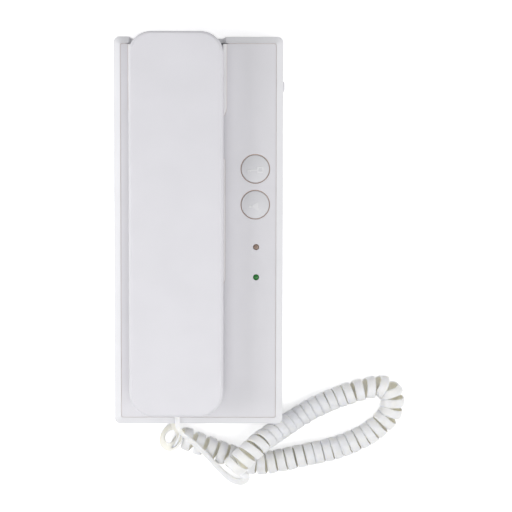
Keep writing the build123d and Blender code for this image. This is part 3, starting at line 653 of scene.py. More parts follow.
def skin(
    node: str, body: Body, finish: Finish, reshape: Callable[[BMesh], None] | None = None
) -> Piece:
    """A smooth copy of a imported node, which stands for it, with its normals weighted by area.

    Args:
        node: The node's name.
        body: The body that it rides on.
        finish: Its finish.
        reshape: What changes the copy's mesh before it is smoothed.

    Returns:
        The piece.
    """
    bm = bmesh.new()
    bm.from_mesh(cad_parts[node].data)
    bmesh.ops.remove_doubles(bm, verts=bm.verts, dist=MERGE_DISTANCE)
    bmesh.ops.dissolve_limit(bm, angle_limit=math.radians(FLAT_DEGREES), verts=bm.verts, edges=bm.edges)
    if reshape is not None:
        reshape(bm)
    shade_smooth(bm, SKIN_SHARP_DEGREES)
    mesh = bpy.data.meshes.new(f"{node}_skin")
    bm.to_mesh(mesh)
    bm.free()
    for name in ("custom_normal", "UVMap"):
        if name in mesh.attributes:
            mesh.attributes.remove(mesh.attributes[name])
    rough = add_object(f"{node}_rough", mesh)
    rough.modifiers.new("weighted_normals", "WEIGHTED_NORMAL").keep_sharp = True
    piece = dress(add_object(f"{node}_skin", settled(rough)), body, finish)
    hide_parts(node)
    return piece


def skins(body: Body, *rows: tuple[str, Slot, Finish]) -> list[Piece]:
    """The smooth copies of several nodes on one body, each given by its name, slot and finish."""
    return [skin(node, body, finish) for node, slot, finish in rows]


def repaint(nodes: Iterable[str], finish: Finish) -> list[Piece]:
    """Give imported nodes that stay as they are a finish.

    Args:
        nodes: The nodes' names.
        finish: Their finish.

    Returns:
        The nodes' objects.
    """
    painted = [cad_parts[name] for name in nodes]
    for node in painted:
        node.data.materials.clear()
        node.data.materials.append(finish.material())
    return painted


def corners(places: Sequence[Vector]) -> tuple[Vector, Vector]:
    """The lowest and the highest corner of the box round some places."""
    low, high = (Vector([end(p[k] for p in places) for k in range(3)]) for end in (min, max))
    return low, high


def top_centre(node: str) -> Vector:
    """The middle of a node's box at its top."""
    low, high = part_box(node)
    return Vector(((low.x + high.x) / 2, (low.y + high.y) / 2, high.z))


def raised_mark(name: str, outlines: Sequence[Outline], height: float, edge_radius: float) -> Mesh:
    """A raised mark from flat outlines, with rounded upper edges. An outline inside another is a hole.

    Args:
        name: The mesh's name.
        outlines: Closed outlines in millimetres.
        height: How far the mark stands up.
        edge_radius: The radius of its edges.

    Returns:
        The mark's mesh, its lower half below the origin's plane.
    """
    curve = bpy.data.curves.new(name, "CURVE")
    curve.dimensions = "2D"
    curve.fill_mode = "BOTH"
    curve.bevel_depth = edge_radius
    curve.bevel_resolution = MARK_EDGE_STEPS
    curve.extrude = height - curve.bevel_depth
    curve.offset = -curve.bevel_depth
    for outline in outlines:
        spline = curve.splines.new("POLY")
        spline.points.add(len(outline) - 1)
        for point, (x, y) in zip(spline.points, outline):
            point.co = (x * MM, y * MM, 0.0, 1.0)
        spline.use_cyclic_u = True
    return smooth_shell(settled(add_object(name, curve)), SMALL_SHARP_DEGREES, merge=True)


def run_lengths(line: np.ndarray) -> np.ndarray:
    """The way covered at each point of a line."""
    return np.concatenate([[0.0], np.cumsum(np.linalg.norm(np.diff(line, axis=0), axis=1))])


def rows_at(places: np.ndarray, runs: np.ndarray, rows: np.ndarray) -> np.ndarray:
    """The rows that a line has at places along it, read off between its points at runs."""
    return np.stack([np.interp(places, runs, rows[:, k]) for k in range(3)], axis=1)


def unit(rows: np.ndarray) -> np.ndarray:
    """Each row at unit length."""
    return rows / np.linalg.norm(rows, axis=1, keepdims=True)


def square_to(rows: np.ndarray, along: np.ndarray) -> np.ndarray:
    """Each row's part square to the direction along, at unit length."""
    return unit(rows - (rows * along).sum(1, keepdims=True) * along)


def repeated(way: Sequence[float], count: int) -> np.ndarray:
    """One direction as that many equal rows."""
    return np.tile(np.array(way), (count, 1))


def ease(share: np.ndarray, start: float, end: float) -> np.ndarray:
    """A smooth rise from 0 at start to 1 at end."""
    t = np.clip((share - start) / (end - start), 0.0, 1.0)
    return t * t * (3 - 2 * t)


def spline_points(route: Sequence[Vector], spacing: float) -> np.ndarray:
    """Evenly spaced points of the smooth spline that a route controls.

    Args:
        route: The spline's control points.
        spacing: The points' spacing in metres.

    Returns:
        The points, one a row.
    """
    curve = bpy.data.curves.new("route", "CURVE")
    curve.dimensions = "3D"
    spline = curve.splines.new("NURBS")
    spline.points.add(len(route) - 1)
    for point, place in zip(spline.points, route):
        point.co = (*place, 1.0)
    spline.order_u = SPLINE_ORDER
    spline.use_endpoint_u = True
    spline.resolution_u = SPLINE_RESOLUTION
    mesh = settled(add_object("route", curve))
    line = np.array([vertex.co for vertex in mesh.vertices], float)
    bpy.data.meshes.remove(mesh)
    runs = run_lengths(line)
    places = np.linspace(0.0, runs[-1], max(2, round(runs[-1] / spacing)) + 1)
    return rows_at(places, runs, line)


def tube(name: str, places: Sequence[Point], ring: int, sharp_degrees: float, closed: bool = False) -> Mesh:
    """A tube skinned over rings of points.

    Args:
        name: The mesh's name.
        places: The points, ring after ring.
        ring: How many points a ring has.
        sharp_degrees: The least angle of a sharp edge.
        closed: Whether the last ring joins the first, where an open tube has a cap on each.

    Returns:
        The tube's mesh.
    """
    count = len(places) // ring
    faces = []
    for i in range(count if closed else count - 1):
        here, there = i * ring, (i + 1) % count * ring
        for j in range(ring):
            k = (j + 1) % ring
            faces.append((here + j, here + k, there + k, there + j))
    if not closed:
        faces += [tuple(range(ring)), tuple(range((count - 1) * ring, count * ring))]
    mesh = bpy.data.meshes.new(name)
    mesh.from_pydata(places, [], faces)
    return smooth_shell(mesh, sharp_degrees)


def sweep_strip(
    name: str, centres: np.ndarray, outward: np.ndarray, across: np.ndarray, section: np.ndarray
) -> Mesh:
    """A closed strip swept along a line, with how far each point faces inwards kept on it.

    Args:
        name: The mesh's name.
        centres: The strip's middle line.
        outward: The direction of its thickness at each place.
        across: The direction of its width at each place.
        section: Its section as pairs of across and outward.

    Returns:
        The strip's mesh.
    """
    rings = (
        centres[:, None]
        + across[:, None] * section[None, :, :1]
        + outward[:, None] * section[None, :, 1:]
    ).reshape(-1, 3)
    mesh = tube(name, rings.tolist(), len(section), STRIP_SHARP_DEGREES)
    facing = np.clip(-section[:, 1] / section[:, 1].max(), 0.0, 1.0)
    inner = mesh.attributes.new("inner", "FLOAT", "POINT")
    inner.data.foreach_set("value", np.tile(facing, len(centres)).astype(np.float32))
    return mesh


# Repeats


class RowShape(str, Enum):
    """The small shape that a row repeats, as the node that makes it."""

    RIB = "GeometryNodeMeshCylinder"
    JOINT = "GeometryNodeMeshCone"


@dataclass
class RepeatRow:
    """A row of one small shape, made by geometry nodes and turned into a plain mesh."""

    name: str
    shape: RowShape
    sides: int
    count: int
    start: Vector
    step: Vector
    radius: float
    length: float
    finish: Finish
    turn: Point = (0.0, 0.0, 0.0)
    tip_radius: float = 0.25 * MM

    def inputs(self) -> dict[str, tuple[str, object]]:
        """The tree's named inputs.

        Returns:
            The kind of each input's socket, and its value.
        """
        return {
            "Count": ("NodeSocketInt", self.count),
            "Start": ("NodeSocketVector", self.start),
            "Step": ("NodeSocketVector", self.step),
            "Turn": ("NodeSocketVector", Vector(self.turn)),
            "Radius": ("NodeSocketFloat", self.radius),
            "Length": ("NodeSocketFloat", self.length),
        }

    def tree(self) -> Tree:
        """Build the tree: a line of points, the shape on each, realised and given its material.

        Returns:
            The node tree.
        """
        tree = bpy.data.node_groups.new(f"{self.name}_row", "GeometryNodeTree")
        tree.interface.new_socket("Geometry", in_out="OUTPUT", socket_type="NodeSocketGeometry")
        for label, (kind, _) in self.inputs().items():
            tree.interface.new_socket(label, in_out="INPUT", socket_type=kind)
        given = tree.nodes.new("NodeGroupInput")
        line = tree.nodes.new("GeometryNodeMeshLine")
        line.mode = "OFFSET"
        shape = tree.nodes.new(self.shape.value)
        shape.inputs["Vertices"].default_value = self.sides
        foot = "Radius"
        if self.shape is RowShape.JOINT:
            foot = "Radius Bottom"
            shape.inputs["Radius Top"].default_value = self.tip_radius
        place = tree.nodes.new("GeometryNodeInstanceOnPoints")
        realise = tree.nodes.new("GeometryNodeRealizeInstances")
        paint = tree.nodes.new("GeometryNodeSetMaterial")
        paint.inputs["Material"].default_value = self.finish.material()
        result = tree.nodes.new("NodeGroupOutput")
        for source, out, target, into in (
            (given, "Count", line, "Count"),
            (given, "Start", line, "Start Location"),
            (given, "Step", line, "Offset"),
            (given, "Radius", shape, foot),
            (given, "Length", shape, "Depth"),
            (given, "Turn", place, "Rotation"),
            (line, "Mesh", place, "Points"),
            (shape, "Mesh", place, "Instance"),
            (place, "Instances", realise, "Geometry"),
            (realise, "Geometry", paint, "Geometry"),
            (paint, "Geometry", result, "Geometry"),
        ):
            tree.links.new(source.outputs[out], target.inputs[into])
        return tree

    def build(self, body: Body, slot: Slot) -> Piece:
        """Run the tree and keep its mesh.

        Args:
            body: The body that the row rides on.
            slot: The record's slot; not used.

        Returns:
            The piece.
        """
        helper = add_object(f"{self.name}_points", bpy.data.meshes.new(f"{self.name}_points"))
        modifier = helper.modifiers.new("row", "NODES")
        modifier.node_group = self.tree()
        inputs = self.inputs()
        for item in modifier.node_group.interface.items_tree:
            if item.in_out == "INPUT":
                _, modifier[item.identifier] = inputs[item.name]
        mesh = smooth_shell(settled(helper), SMALL_SHARP_DEGREES)
        return dress(add_object(self.name, mesh), body, self.finish)


# Sub-assemblies


@dataclass(frozen=True)
class RouteMark:
    """A place on the coil's axis with the turns' pitch, radius and swing, in millimetres and degrees."""

    place: Point
    pitch: float
    radius: float
    swing: float


@dataclass(frozen=True)
class Wave:
    """A sine wave along the coil: its height, its pace in radians a turn and its phase in radians."""

    height: float
    pace: float
    phase: float

    def at(self, turn: np.ndarray) -> np.ndarray:
        """The wave's value at a turn."""
        return self.height * np.sin(turn * self.pace + self.phase)


@dataclass
class CurlyCord:
    """The flat curly cord: its coil, its short run into the base and the lead down from the handset.

    Reaches and spans are in turns. The span waver_start counts them from the coil's start, and waver_end,
    ring_start and ring_end count them from its end.
    """

    strip_width: float = 4.8 * MM
    strip_thickness: float = 1.4 * MM
    corner_power: float = 0.62
    section_points: int = 16
    turns: float = 45.6
    start_degrees: float = -80.0
    steps_per_turn: int = 48
    axis_spacing: float = 0.25 * MM
    lead_spacing: float = 0.5 * MM
    tail_spacing: float = 0.25 * MM
    turn_gap: float = 0.06 * MM
    least_room: float = 0.2 * MM
    most_lean: float = math.radians(70)
    lean_reach: float = 0.2
    wavers: tuple[Wave, ...] = (Wave(0.1 * MM, 1.9, 0.7), Wave(0.06 * MM, 4.3, 2.1))
    waver_start: tuple[float, float] = (0.5, 3.0)
    waver_end: tuple[float, float] = (2.0, 5.0)
    lean_waver: Wave = Wave(math.radians(4), 2.7, 0.4)
    ring_lean: float = math.radians(38)
    ring_start: tuple[float, float] = (0.75, 1.1)
    ring_end: tuple[float, float] = (0.1, 0.4)
    coil_length: float = 1.65
    lead_length: float = 0.087
    lead_run: float = 4.2 * MM
    tail_run: float = 1.6 * MM
    socket_stand: float = 0.8 * MM
    socket_depth: float = 2.4 * MM
    base_socket: Point = (-14.6, -105.0, 12.2)
    plug_end: Point = (-11.3, -97.8, 33.45)
    plug_mouth: Point = (-11.3, -103.6, 33.45)
    lean_shares: tuple[float, ...] = (0.0, 0.2, 0.42, 0.6, 0.8, 0.9, 1.0)
    lean_degrees: tuple[float, ...] = (30.0, 32.0, 37.0, 40.0, 60.0, 52.0, 80.0)
    merge_share: float = 0.9

    def route(self) -> list[RouteMark]:
        """The marks along the coil's axis, from the lead's end to the base's.

        Returns:
            The marks, as listed.
        """
        marks = [
            ((18.4, -130.4, 20.0), 6.3, 5.7, 5),
            ((24.7, -124.1, 21.0), 6.0, 5.7, 5),
            ((32.5, -117.0, 18.4), 5.3, 5.6, -1),
            ((40.3, -112.2, 13.6), 5.1, 5.5, -1),
            ((48.6, -107.7, 9.5), 5.0, 5.4, 3),
            ((56.2, -102.7, 7.2), 4.8, 5.4, 6),
            ((64.9, -98.0, 6.9), 4.9, 5.4, 8),
            ((73.6, -94.0, 6.9), 4.9, 5.4, 8),
            ((83.6, -90.3, 6.9), 5.7, 5.6, 8),
            ((89.0, -88.7, 6.9), 6.4, 5.7, 15),
            ((95.0, -87.2, 6.9), 6.8, 5.8, 23),
            ((100.7, -86.4, 6.9), 6.5, 5.9, 27),
            ((104.8, -87.6, 6.9), 6.1, 6.0, 22),
            ((106.8, -91.0, 6.9), 5.7, 6.0, 12),
            ((107.3, -95.4, 6.9), 5.7, 6.0, 7),
            ((106.6, -99.6, 6.9), 5.7, 5.9, 8),
            ((105.2, -103.0, 6.9), 5.7, 5.9, 8),
            ((102.5, -106.0, 6.9), 5.9, 5.8, 8),
            ((99.2, -109.1, 6.9), 5.7, 5.8, 8),
            ((95.5, -112.1, 6.9), 5.3, 5.8, 8),
            ((90.9, -114.9, 6.9), 5.3, 5.8, 8),
            ((81.7, -119.2, 6.9), 5.05, 5.8, 8),
            ((72.3, -122.3, 6.9), 5.0, 5.8, 8),
            ((62.0, -124.4, 6.9), 5.35, 5.8, 8),
            ((51.4, -126.9, 6.9), 5.6, 5.8, 8),
            ((40.0, -129.2, 6.9), 5.8, 5.8, 8),
            ((34.5, -129.9, 6.9), 5.5, 5.8, 8),
            ((29.3, -129.6, 6.9), 5.3, 5.8, 8),
            ((23.7, -128.1, 6.9), 5.6, 5.7, 8),
            ((17.9, -126.0, 6.9), 6.2, 5.7, 8),
            ((6.1, -121.4, 6.9), 6.9, 5.6, 10),
            ((0.0, -118.9, 6.9), 7.0, 5.6, 12),
            ((-6.6, -116.4, 6.9), 7.6, 5.7, 14),
            ((-10.6, -115.4, 7.0), 7.4, 5.9, 14),
            ((-13.2, -114.8, 7.4), 6.0, 6.0, 10),
            ((-15.0, -114.6, 8.4), 5.0, 5.8, 6),
            ((-16.0, -114.4, 9.8), 4.4, 5.7, 4),
            ((-16.4, -114.0, 11.4), 4.0, 5.7, 4),
        ]
        return [RouteMark(*mark) for mark in marks]

    def lead_route(self) -> list[Point]:
        """The handset lead's way, from below its plug over the coil and round to the first turn.

        Returns:
            Its places in millimetres, as listed.
        """
        return [
            (-9.9, -108.6, 28.2),
            (-6.6, -112.6, 22.4),
            (-2.7, -116.5, 18.6),
            (3.3, -122.8, 15.4),
            (8.8, -129.8, 10.2),
            (13.6, -135.9, 5.2),
            (18.2, -140.2, 2.8),
            (22.4, -141.4, 2.7),
            (25.6, -140.2, 4.0),
            (26.3, -136.8, 8.0),
        ]

    def section(self) -> np.ndarray:
        """The strip's section: a flat oval with full corners.

        Returns:
            Pairs of across and outward.
        """
        angles = np.linspace(0.0, 2 * math.pi, self.section_points, endpoint=False)
        sides = ((self.strip_width / 2, np.cos(angles)), (self.strip_thickness / 2, np.sin(angles)))
        full = self.corner_power
        return np.stack([half * np.sign(way) * np.abs(way) ** full for half, way in sides], axis=1)

    def helix(self) -> tuple[np.ndarray, np.ndarray]:
        """The coil's middle line and the direction out of its axis at each place.

        Returns:
            The line's points and their outward directions.
        """
        marks = self.route()
        points = in_metres(mark.place for mark in marks)
        axis = spline_points(points, self.axis_spacing)
        runs = run_lengths(axis)
        mark_runs = run_lengths(np.array(points))
        mark_runs *= runs[-1] / mark_runs[-1]
        pitches = np.interp(runs, mark_runs, [mark.pitch * MM for mark in marks])
        steps = np.diff(runs) * (1 / pitches[1:] + 1 / pitches[:-1]) / 2
        turned = np.concatenate([[0.0], np.cumsum(steps)])
        turned *= self.turns / turned[-1]
        turn = np.linspace(0.0, self.turns, round(self.turns * self.steps_per_turn) + 1)
        inside = ease(turn, *self.waver_start) * ease(self.turns - turn, *self.waver_end)
        ways = np.interp(turn, turned, runs) + sum(wave.at(turn) for wave in self.wavers) * inside
        middle = rows_at(ways, runs, axis)
        along = unit(rows_at(ways, runs, unit(np.gradient(axis, axis=0))))
        side = unit(np.cross(np.array(UP), along))
        up = np.cross(along, side)
        angles = (math.radians(self.start_degrees) + 2 * math.pi * turn)[:, None]
        radial = side * np.cos(angles) + up * np.sin(angles)
        swings = np.radians(np.interp(ways, mark_runs, [mark.swing for mark in marks]))[:, None]
        swung = side * np.cos(swings) + along * np.sin(swings)
        radii = np.interp(ways, mark_runs, [mark.radius * MM for mark in marks])[:, None]
        return middle + (swung * np.cos(angles) + up * np.sin(angles)) * radii, radial

    def lean(self, centres: np.ndarray, across: np.ndarray) -> np.ndarray:
        """How far the strip leans at each place, so that crowded turns lie on each other like shingles.

        The last turn before the base leans more, as a loose ring.

        Args:
            centres: The strip's middle line.
            across: The direction of its width.

        Returns:
            The lean in radians.
        """
        step = self.steps_per_turn
        apart = np.abs(((centres[step:] - centres[:-step]) * across[:-step]).sum(1))
        apart = np.concatenate([apart, np.full(step, apart[-1])])
        half = np.maximum(apart - self.turn_gap, self.least_room) / 2
        flat, thick = (2 / self.strip_width) ** 2, (2 / self.strip_thickness) ** 2
        leans = np.arcsin(np.sqrt(np.clip((1 / half**2 - flat) / (thick - flat), 0.0, 1.0)))
        leans = np.minimum(leans, self.most_lean)
        reach = int(step * self.lean_reach)
        window = np.ones(2 * reach + 1) / (2 * reach + 1)
        leans = np.convolve(np.pad(leans, reach, mode="edge"), window, mode="valid")
        turn = np.linspace(0.0, self.turns, len(centres))
        left = self.turns - turn
        leans += self.lean_waver.at(turn)
        leans += self.ring_lean * (1 - ease(left, *self.ring_start)) * ease(left, *self.ring_end)
        return leans

    def build(self) -> list[Piece]:
        """Sweep the coil with its run into the base, and the lead that joins it.

        Returns:
            The coil and the lead.
        """
        coil, radial = self.helix()
        along = unit(np.gradient(coil, axis=0))
        outward = square_to(radial, along)
        across = np.cross(along, outward)
        leans = self.lean(coil, across)
        cos, sin = np.cos(leans)[:, None], np.sin(leans)[:, None]
        outward, across = outward * cos + across * sin, across * cos - outward * sin

        socket = Vector(self.base_socket) * MM
        end = Vector(coil[-1])
        run_in = [socket - EARWARD * self.socket_stand, socket + EARWARD * self.socket_depth]
        tail = spline_points([end, end + Vector(along[-1]) * self.tail_run, *run_in], self.tail_spacing)[1:]
        tail_along = unit(np.gradient(np.vstack([coil[-1], tail]), axis=0))[1:]
        tail_outward = square_to(repeated(outward[-1], len(tail)), tail_along)
        line = np.vstack([coil, tail])
        thickness = np.vstack([outward, tail_outward])
        width = np.vstack([across, np.cross(tail_along, tail_outward)])
        mesh = sweep_strip("curly_cord", line, thickness, width, self.section())
        strip = dress(add_object("curly_cord", mesh), Body.BASE, CORD_FINISH)
        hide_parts("cord_coil", "base_lead")
        return [strip, self.lead(coil[0], along[0], outward[0], across[0])]

    def lead(self, start: np.ndarray, along: np.ndarray, outward: np.ndarray, across: np.ndarray) -> Piece:
        """The straight lead from the handset's plug to the coil's first turn.

        Args:
            start: Where the coil starts.
            along: The coil's direction there.
            outward: The direction of its thickness there.
            across: The direction of its width there.

        Returns:
            The lead.
        """
        first = Vector(start)
        places = in_metres([self.plug_end, self.plug_mouth, *self.lead_route()])
        line = spline_points([*places, first - Vector(along) * self.lead_run, first], self.lead_spacing)
        share = np.linspace(0.0, 1.0, len(line))[:, None]
        ways = unit(np.gradient(line, axis=0))
        ways[-1] = along
        upright = square_to(repeated(UP, len(line)), ways)
        inward = np.cross(upright, ways)
        leans = np.radians(np.interp(share, self.lean_shares, self.lean_degrees))
        width = upright * np.cos(leans) + inward * np.sin(leans)
        final = across * math.copysign(1.0, float((inward[-1] * across).sum()))
        merge = ease(share, self.merge_share, 1.0)
        width = square_to(width * (1 - merge) + final * merge, ways)
        thickness = np.cross(width, ways)
        if (thickness[-1] * outward).sum() < 0:
            thickness = -thickness
        mesh = sweep_strip("handset_lead_strip", line, thickness, width, self.section())
        mesh.attributes["inner"].data.foreach_set("value", np.zeros(len(mesh.vertices), np.float32))
        piece = add_object("handset_lead_strip", mesh)
        piece.data.materials.append(CORD_FINISH.material())
        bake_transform(piece)
        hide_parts("handset_lead")
        return piece


@dataclass(frozen=True)
class HollowEdge:
    """The right-hand edge of a hollow in the panel, with a bend inwards at one or both of its ends.

    Its distance from the handset's middle, its ends along Y and the bends' radii are fields.
    """

    name: str
    away: float
    upper: float
    lower: float
    lower_bend: float
    upper_bend: float = 0.0
    bend_degrees: float = 38.0
    bend_steps: int = 6

    def bend(self, radius: float, end: float, way: int) -> Outline:
        """One bend, from the straight stretch on.

        Args:
            radius: The bend's radius.
            end: Where its arc would end along Y.
            way: 1 at the lower end and -1 at the upper.

        Returns:
            Its points.
        """
        angles = np.radians(np.linspace(0, self.bend_degrees, self.bend_steps))
        return [
            (self.away - radius * (1 - math.cos(a)), end + way * radius * (1 - math.sin(a))) for a in angles
        ]

    def line(self) -> np.ndarray:
        """The edge from its upper to its lower end.

        Returns:
            Points in the panel's plane, their x from the handset's middle.
        """
        upper = [(self.away, self.upper)]
        if self.upper_bend:
            upper = self.bend(self.upper_bend, self.upper, -1)[::-1]
        return np.array(upper + self.bend(self.lower_bend, self.lower, 1))


@dataclass
class WallBase:
    """The tray, the panel in it, the cord's socket and plug, and the screws under the handset."""

    panel_gap: float = 0.35 * MM
    seam_width: float = 0.33 * MM
    seam_depth: float = 1.2 * MM
    seam_sink: float = 0.22 * MM
    seam_radius: float = 1.1 * MM
    corner_steps: int = 6
    channel_half_width: float = 27.4 * MM
    ledge_width: float = 1.8 * MM
    ledge_rise: float = 0.1 * MM
    ledge_depth: float = 1.0 * MM
    line_width: float = 0.3 * MM
    line_rise: float = 0.06 * MM
    edges: tuple[HollowEdge, ...] = (
        HollowEdge("channel", 26.75 * MM, 101.0 * MM, 58.5 * MM, lower_bend=8.9 * MM),
        HollowEdge("pocket", 25.85 * MM, 41.6 * MM, -31.8 * MM, lower_bend=6.9 * MM, upper_bend=3.9 * MM),
    )

    def middle(self) -> float:
        """The x of the handset's middle, which is the channel's too."""
        return top_centre("handset_shell_front").x

    def bar(
        self, name: str, centres: np.ndarray, across: np.ndarray, width: float, depth: float, finish: Finish
    ) -> Piece:
        """A bar of rectangular section along a line in the panel.

        Args:
            name: The piece's name.
            centres: Its middle line.
            across: The direction of its width at each place.
            width: Its width.
            depth: Its depth along Z.
            finish: Its finish.

        Returns:
            The bar.
        """
        half, deep = width / 2, depth / 2
        section = np.array([(half, deep), (-half, deep), (-half, -deep), (half, -deep)])
        mesh = sweep_strip(name, centres, repeated(UP, len(centres)), across, section)
        return dress(add_object(name, mesh), Body.BASE, finish)

    def ledges(self) -> list[Piece]:
        """The narrow ledges along both edges of the channel and the pocket, pale with painted light, and the
        fine line outside each, dark with painted shade.

        Returns:
            The lines and the ledges.
        """
        top = top_centre("front_panel").z
        made = []
        for edge in self.edges:
            line = edge.line()
            for side, mirror in (("right", 1), ("left", -1)):
                # Each edge gets a dark line of painted shade and, inside it, a pale ledge of painted light.
                for kind, start, width, rise, finish in (
                    ("line", 0.0, self.line_width, self.line_rise, SEAM_PAINTED_SHADE),
                    ("ledge", self.line_width, self.ledge_width, self.ledge_rise, LEDGE_PAINTED_LIGHT),
                ):
                    away = self.middle() + mirror * (line[:, 0] - start - width / 2)
                    level = np.full(len(line), top + rise - self.ledge_depth / 2)
                    centres = np.stack([away, line[:, 1], level], axis=1)
                    across = repeated(BUTTONWARD, len(line))
                    name = f"{edge.name}_{side}_{kind}"
                    made.append(self.bar(name, centres, across, width, self.ledge_depth, finish))
        return made

    def seam(self) -> Piece:
        """The step that closes the gap between panel and rim, open where the handset's channel crosses it,
        with painted shade for the gap.

        Returns:
            The seam's piece.
        """
        low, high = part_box("front_panel")
        out = self.panel_gap / 2
        left, right, bottom, top = low.x - out, high.x + out, low.y - out, high.y + out
        radius = self.seam_radius
        line = [(self.middle() + self.channel_half_width, top)]
        for x, y, start in (
            (right - radius, top - radius, 90),
            (right - radius, bottom + radius, 0),
            (left + radius, bottom + radius, -90),
            (left + radius, top - radius, -180),
        ):
            for angle in np.radians(np.linspace(start, start - 90, self.corner_steps)):
                line.append((x + radius * math.cos(angle), y + radius * math.sin(angle)))
        line.append((self.middle() - self.channel_half_width, top))
        level = high.z - self.seam_sink - self.seam_depth / 2
        centres = np.array([(x, y, level) for x, y in line])
        across = np.cross(unit(np.gradient(centres, axis=0)), np.array(UP))
        return self.bar("panel_seam", centres, across, self.seam_width, self.seam_depth, SEAM_PAINTED_SHADE)

    def build(self) -> list[Piece]:
        """Dress the base's visible nodes.

        Returns:
            The pieces.
        """
        return [
            self.seam(),
            *self.ledges(),
            *skins(
                Body.BASE,
                ("rear_case", Slot.CASE, CASE_FINISH),
                ("front_panel", Slot.PANEL, PANEL_FINISH),
                ("panel_screws", Slot.STEEL, STEEL_FINISH),
                ("base_jack", Slot.BLACK, BLACK_FINISH),
                ("base_plug", Slot.PLUG, PLUG_FINISH),
            ),
        ]


@dataclass
class PushButton:
    """A round button with a domed cap, the raised mark on it and the collar round it."""

    node: str
    body: Body
    mark: str
    outlines: list[Outline]
    mark_height: float = 0.3 * MM
    mark_sink: float = 0.2 * MM
    mark_edge_radius: float = 0.08 * MM
    dome_height: float = 0.7 * MM
    dome_rings: int = 8
    collar_radii: tuple[float, float] = (7.6 * MM, 7.97 * MM)
    collar_sinks: tuple[float, float] = (0.75 * MM, 1.6 * MM)
    collar_steps: int = 96

    def dome(self, bm: BMesh) -> None:
        """Raise the cap's flat top into a shallow dome.

        Args:
            bm: The cap's mesh.
        """
        top = max(v.co.z for v in bm.verts)
        flat = {f for f in bm.faces if all(top - v.co.z < MERGE_DISTANCE for v in f.verts)}
        rim = {v for f in flat for e in f.edges if not set(e.link_faces) <= flat for v in e.verts}
        centre = sum((v.co for v in rim), Vector()) / len(rim)
        bmesh.ops.delete(bm, geom=list(flat), context="FACES")
        outer = sorted(rim, key=lambda v: math.atan2(v.co.y - centre.y, v.co.x - centre.x))
        reach = [v.co - centre for v in outer]
        for ring in range(1, self.dome_rings):
            share = 1 - ring / self.dome_rings
            rise = UP * self.dome_height * (1 - share**2)
            inner = [bm.verts.new(centre + way * share + rise) for way in reach]
            for i in range(len(outer)):
                k = (i + 1) % len(outer)
                bm.faces.new((outer[i], outer[k], inner[k], inner[i]))
            outer = inner
        middle = bm.verts.new(centre + UP * self.dome_height)
        for i in range(len(outer)):
            bm.faces.new((outer[i], outer[(i + 1) % len(outer)], middle))

    def collar(self, centre: Vector) -> Piece:
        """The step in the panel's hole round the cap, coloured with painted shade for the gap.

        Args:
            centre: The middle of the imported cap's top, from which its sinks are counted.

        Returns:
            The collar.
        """
        inner, outer = self.collar_radii
        upper, lower = (centre.z - sink for sink in self.collar_sinks)
        section = [(outer, upper), (inner, upper), (inner, lower), (outer, lower)]
        angles = [2 * math.pi * i / self.collar_steps for i in range(self.collar_steps)]
        places = [
            (centre.x + r * math.cos(a), centre.y + r * math.sin(a), z) for a in angles for r, z in section
        ]
        name = f"{self.node}_collar"
        mesh = tube(name, places, len(section), RING_SHARP_DEGREES, closed=True)
        return dress(add_object(name, mesh), Body.BASE, COLLAR_PAINTED_SHADE)

    def build(self) -> list[Piece]:
        """Dress the cap, set the mark on its dome and the collar round it.

        Returns:
            The cap, the mark and the collar.
        """
        cap = skin(self.node, self.body, BUTTON_FINISH, self.dome)
        centre = top_centre(self.node)
        mesh = raised_mark(self.mark, self.outlines, self.mark_height, self.mark_edge_radius)
        mesh.transform(Matrix.Translation(centre + UP * (self.dome_height - self.mark_sink)))
        mark = dress(add_object(self.mark, mesh), self.body, MARK_FINISH)
        return [cap, mark, self.collar(centre)]


def key_outlines() -> list[Outline]:
    """A key, in millimetres from the cap's middle.

    Returns:
        The outline of its square bow, its shaft and its two teeth, and that of the bow's hole.
    """
    key = [
        (1.0, -0.95), (1.0, -1.7), (1.4, -2.1), (4.1, -2.1), (4.5, -1.7), (4.5, 1.0), (4.1, 1.4), (1.4, 1.4),
        (1.0, 1.0), (1.0, -0.25), (-4.2, -0.25), (-4.2, -1.9), (-3.6, -1.9), (-3.6, -0.95), (-3.0, -0.95),
        (-3.0, -1.6), (-2.4, -1.6), (-2.4, -0.95),
    ]
    hole = [(1.9, -1.2), (3.6, -1.2), (3.6, 0.5), (1.9, 0.5)]
    return [key, hole]


def speaker_outlines() -> list[Outline]:
    """A loudspeaker, in millimetres from the cap's middle.

    Returns:
        The outlines of its small box and of its horn, which opens to the right.
    """
    box = [(-3.4, -1.6), (-1.9, -1.6), (-1.9, -0.2), (-3.4, -0.2)]
    horn = [(-1.5, -1.6), (1.8, -3.4), (1.8, 1.6), (-1.5, -0.2)]
    return [box, horn]


@dataclass
class Lamps:
    """The two indicator lamps in the panel."""

    # The rim colours are painted light that offsets the shade at the edge of each lamp's hole.
    amber: Colour = shade(142, 120, 107)
    amber_rim_painted_light: Colour = shade(168, 148, 134)
    green: Colour = shade(20, 104, 32)
    green_rim_painted_light: Colour = shade(44, 130, 56)
    fill: float = 1.09

    def widen(self, bm: BMesh) -> None:
        """Widen a lens about its axis until it fills its hole.

        Args:
            bm: The lens's mesh.
        """
        low, high = corners([v.co for v in bm.verts])
        centre = (low + high) / 2
        grow = Matrix.Diagonal((self.fill, self.fill, 1.0, 1.0))
        bm.transform(Matrix.Translation(centre) @ grow @ Matrix.Translation(-centre))

    def build(self) -> list[Piece]:
        """Dress the lamps with lenses that are centred on them.

        Returns:
            The lamps.
        """
        made = []
        for node, slot, tint, rim in (
            ("call_lamp", Slot.AMBER, self.amber, self.amber_rim_painted_light),
            ("power_lamp", Slot.GREEN, self.green, self.green_rim_painted_light),
        ):
            lens = LampLens(f"{node}_lens", tint, rim, tuple(top_centre(node)))
            made.append(skin(node, Body.BASE, lens, self.widen))
        return made


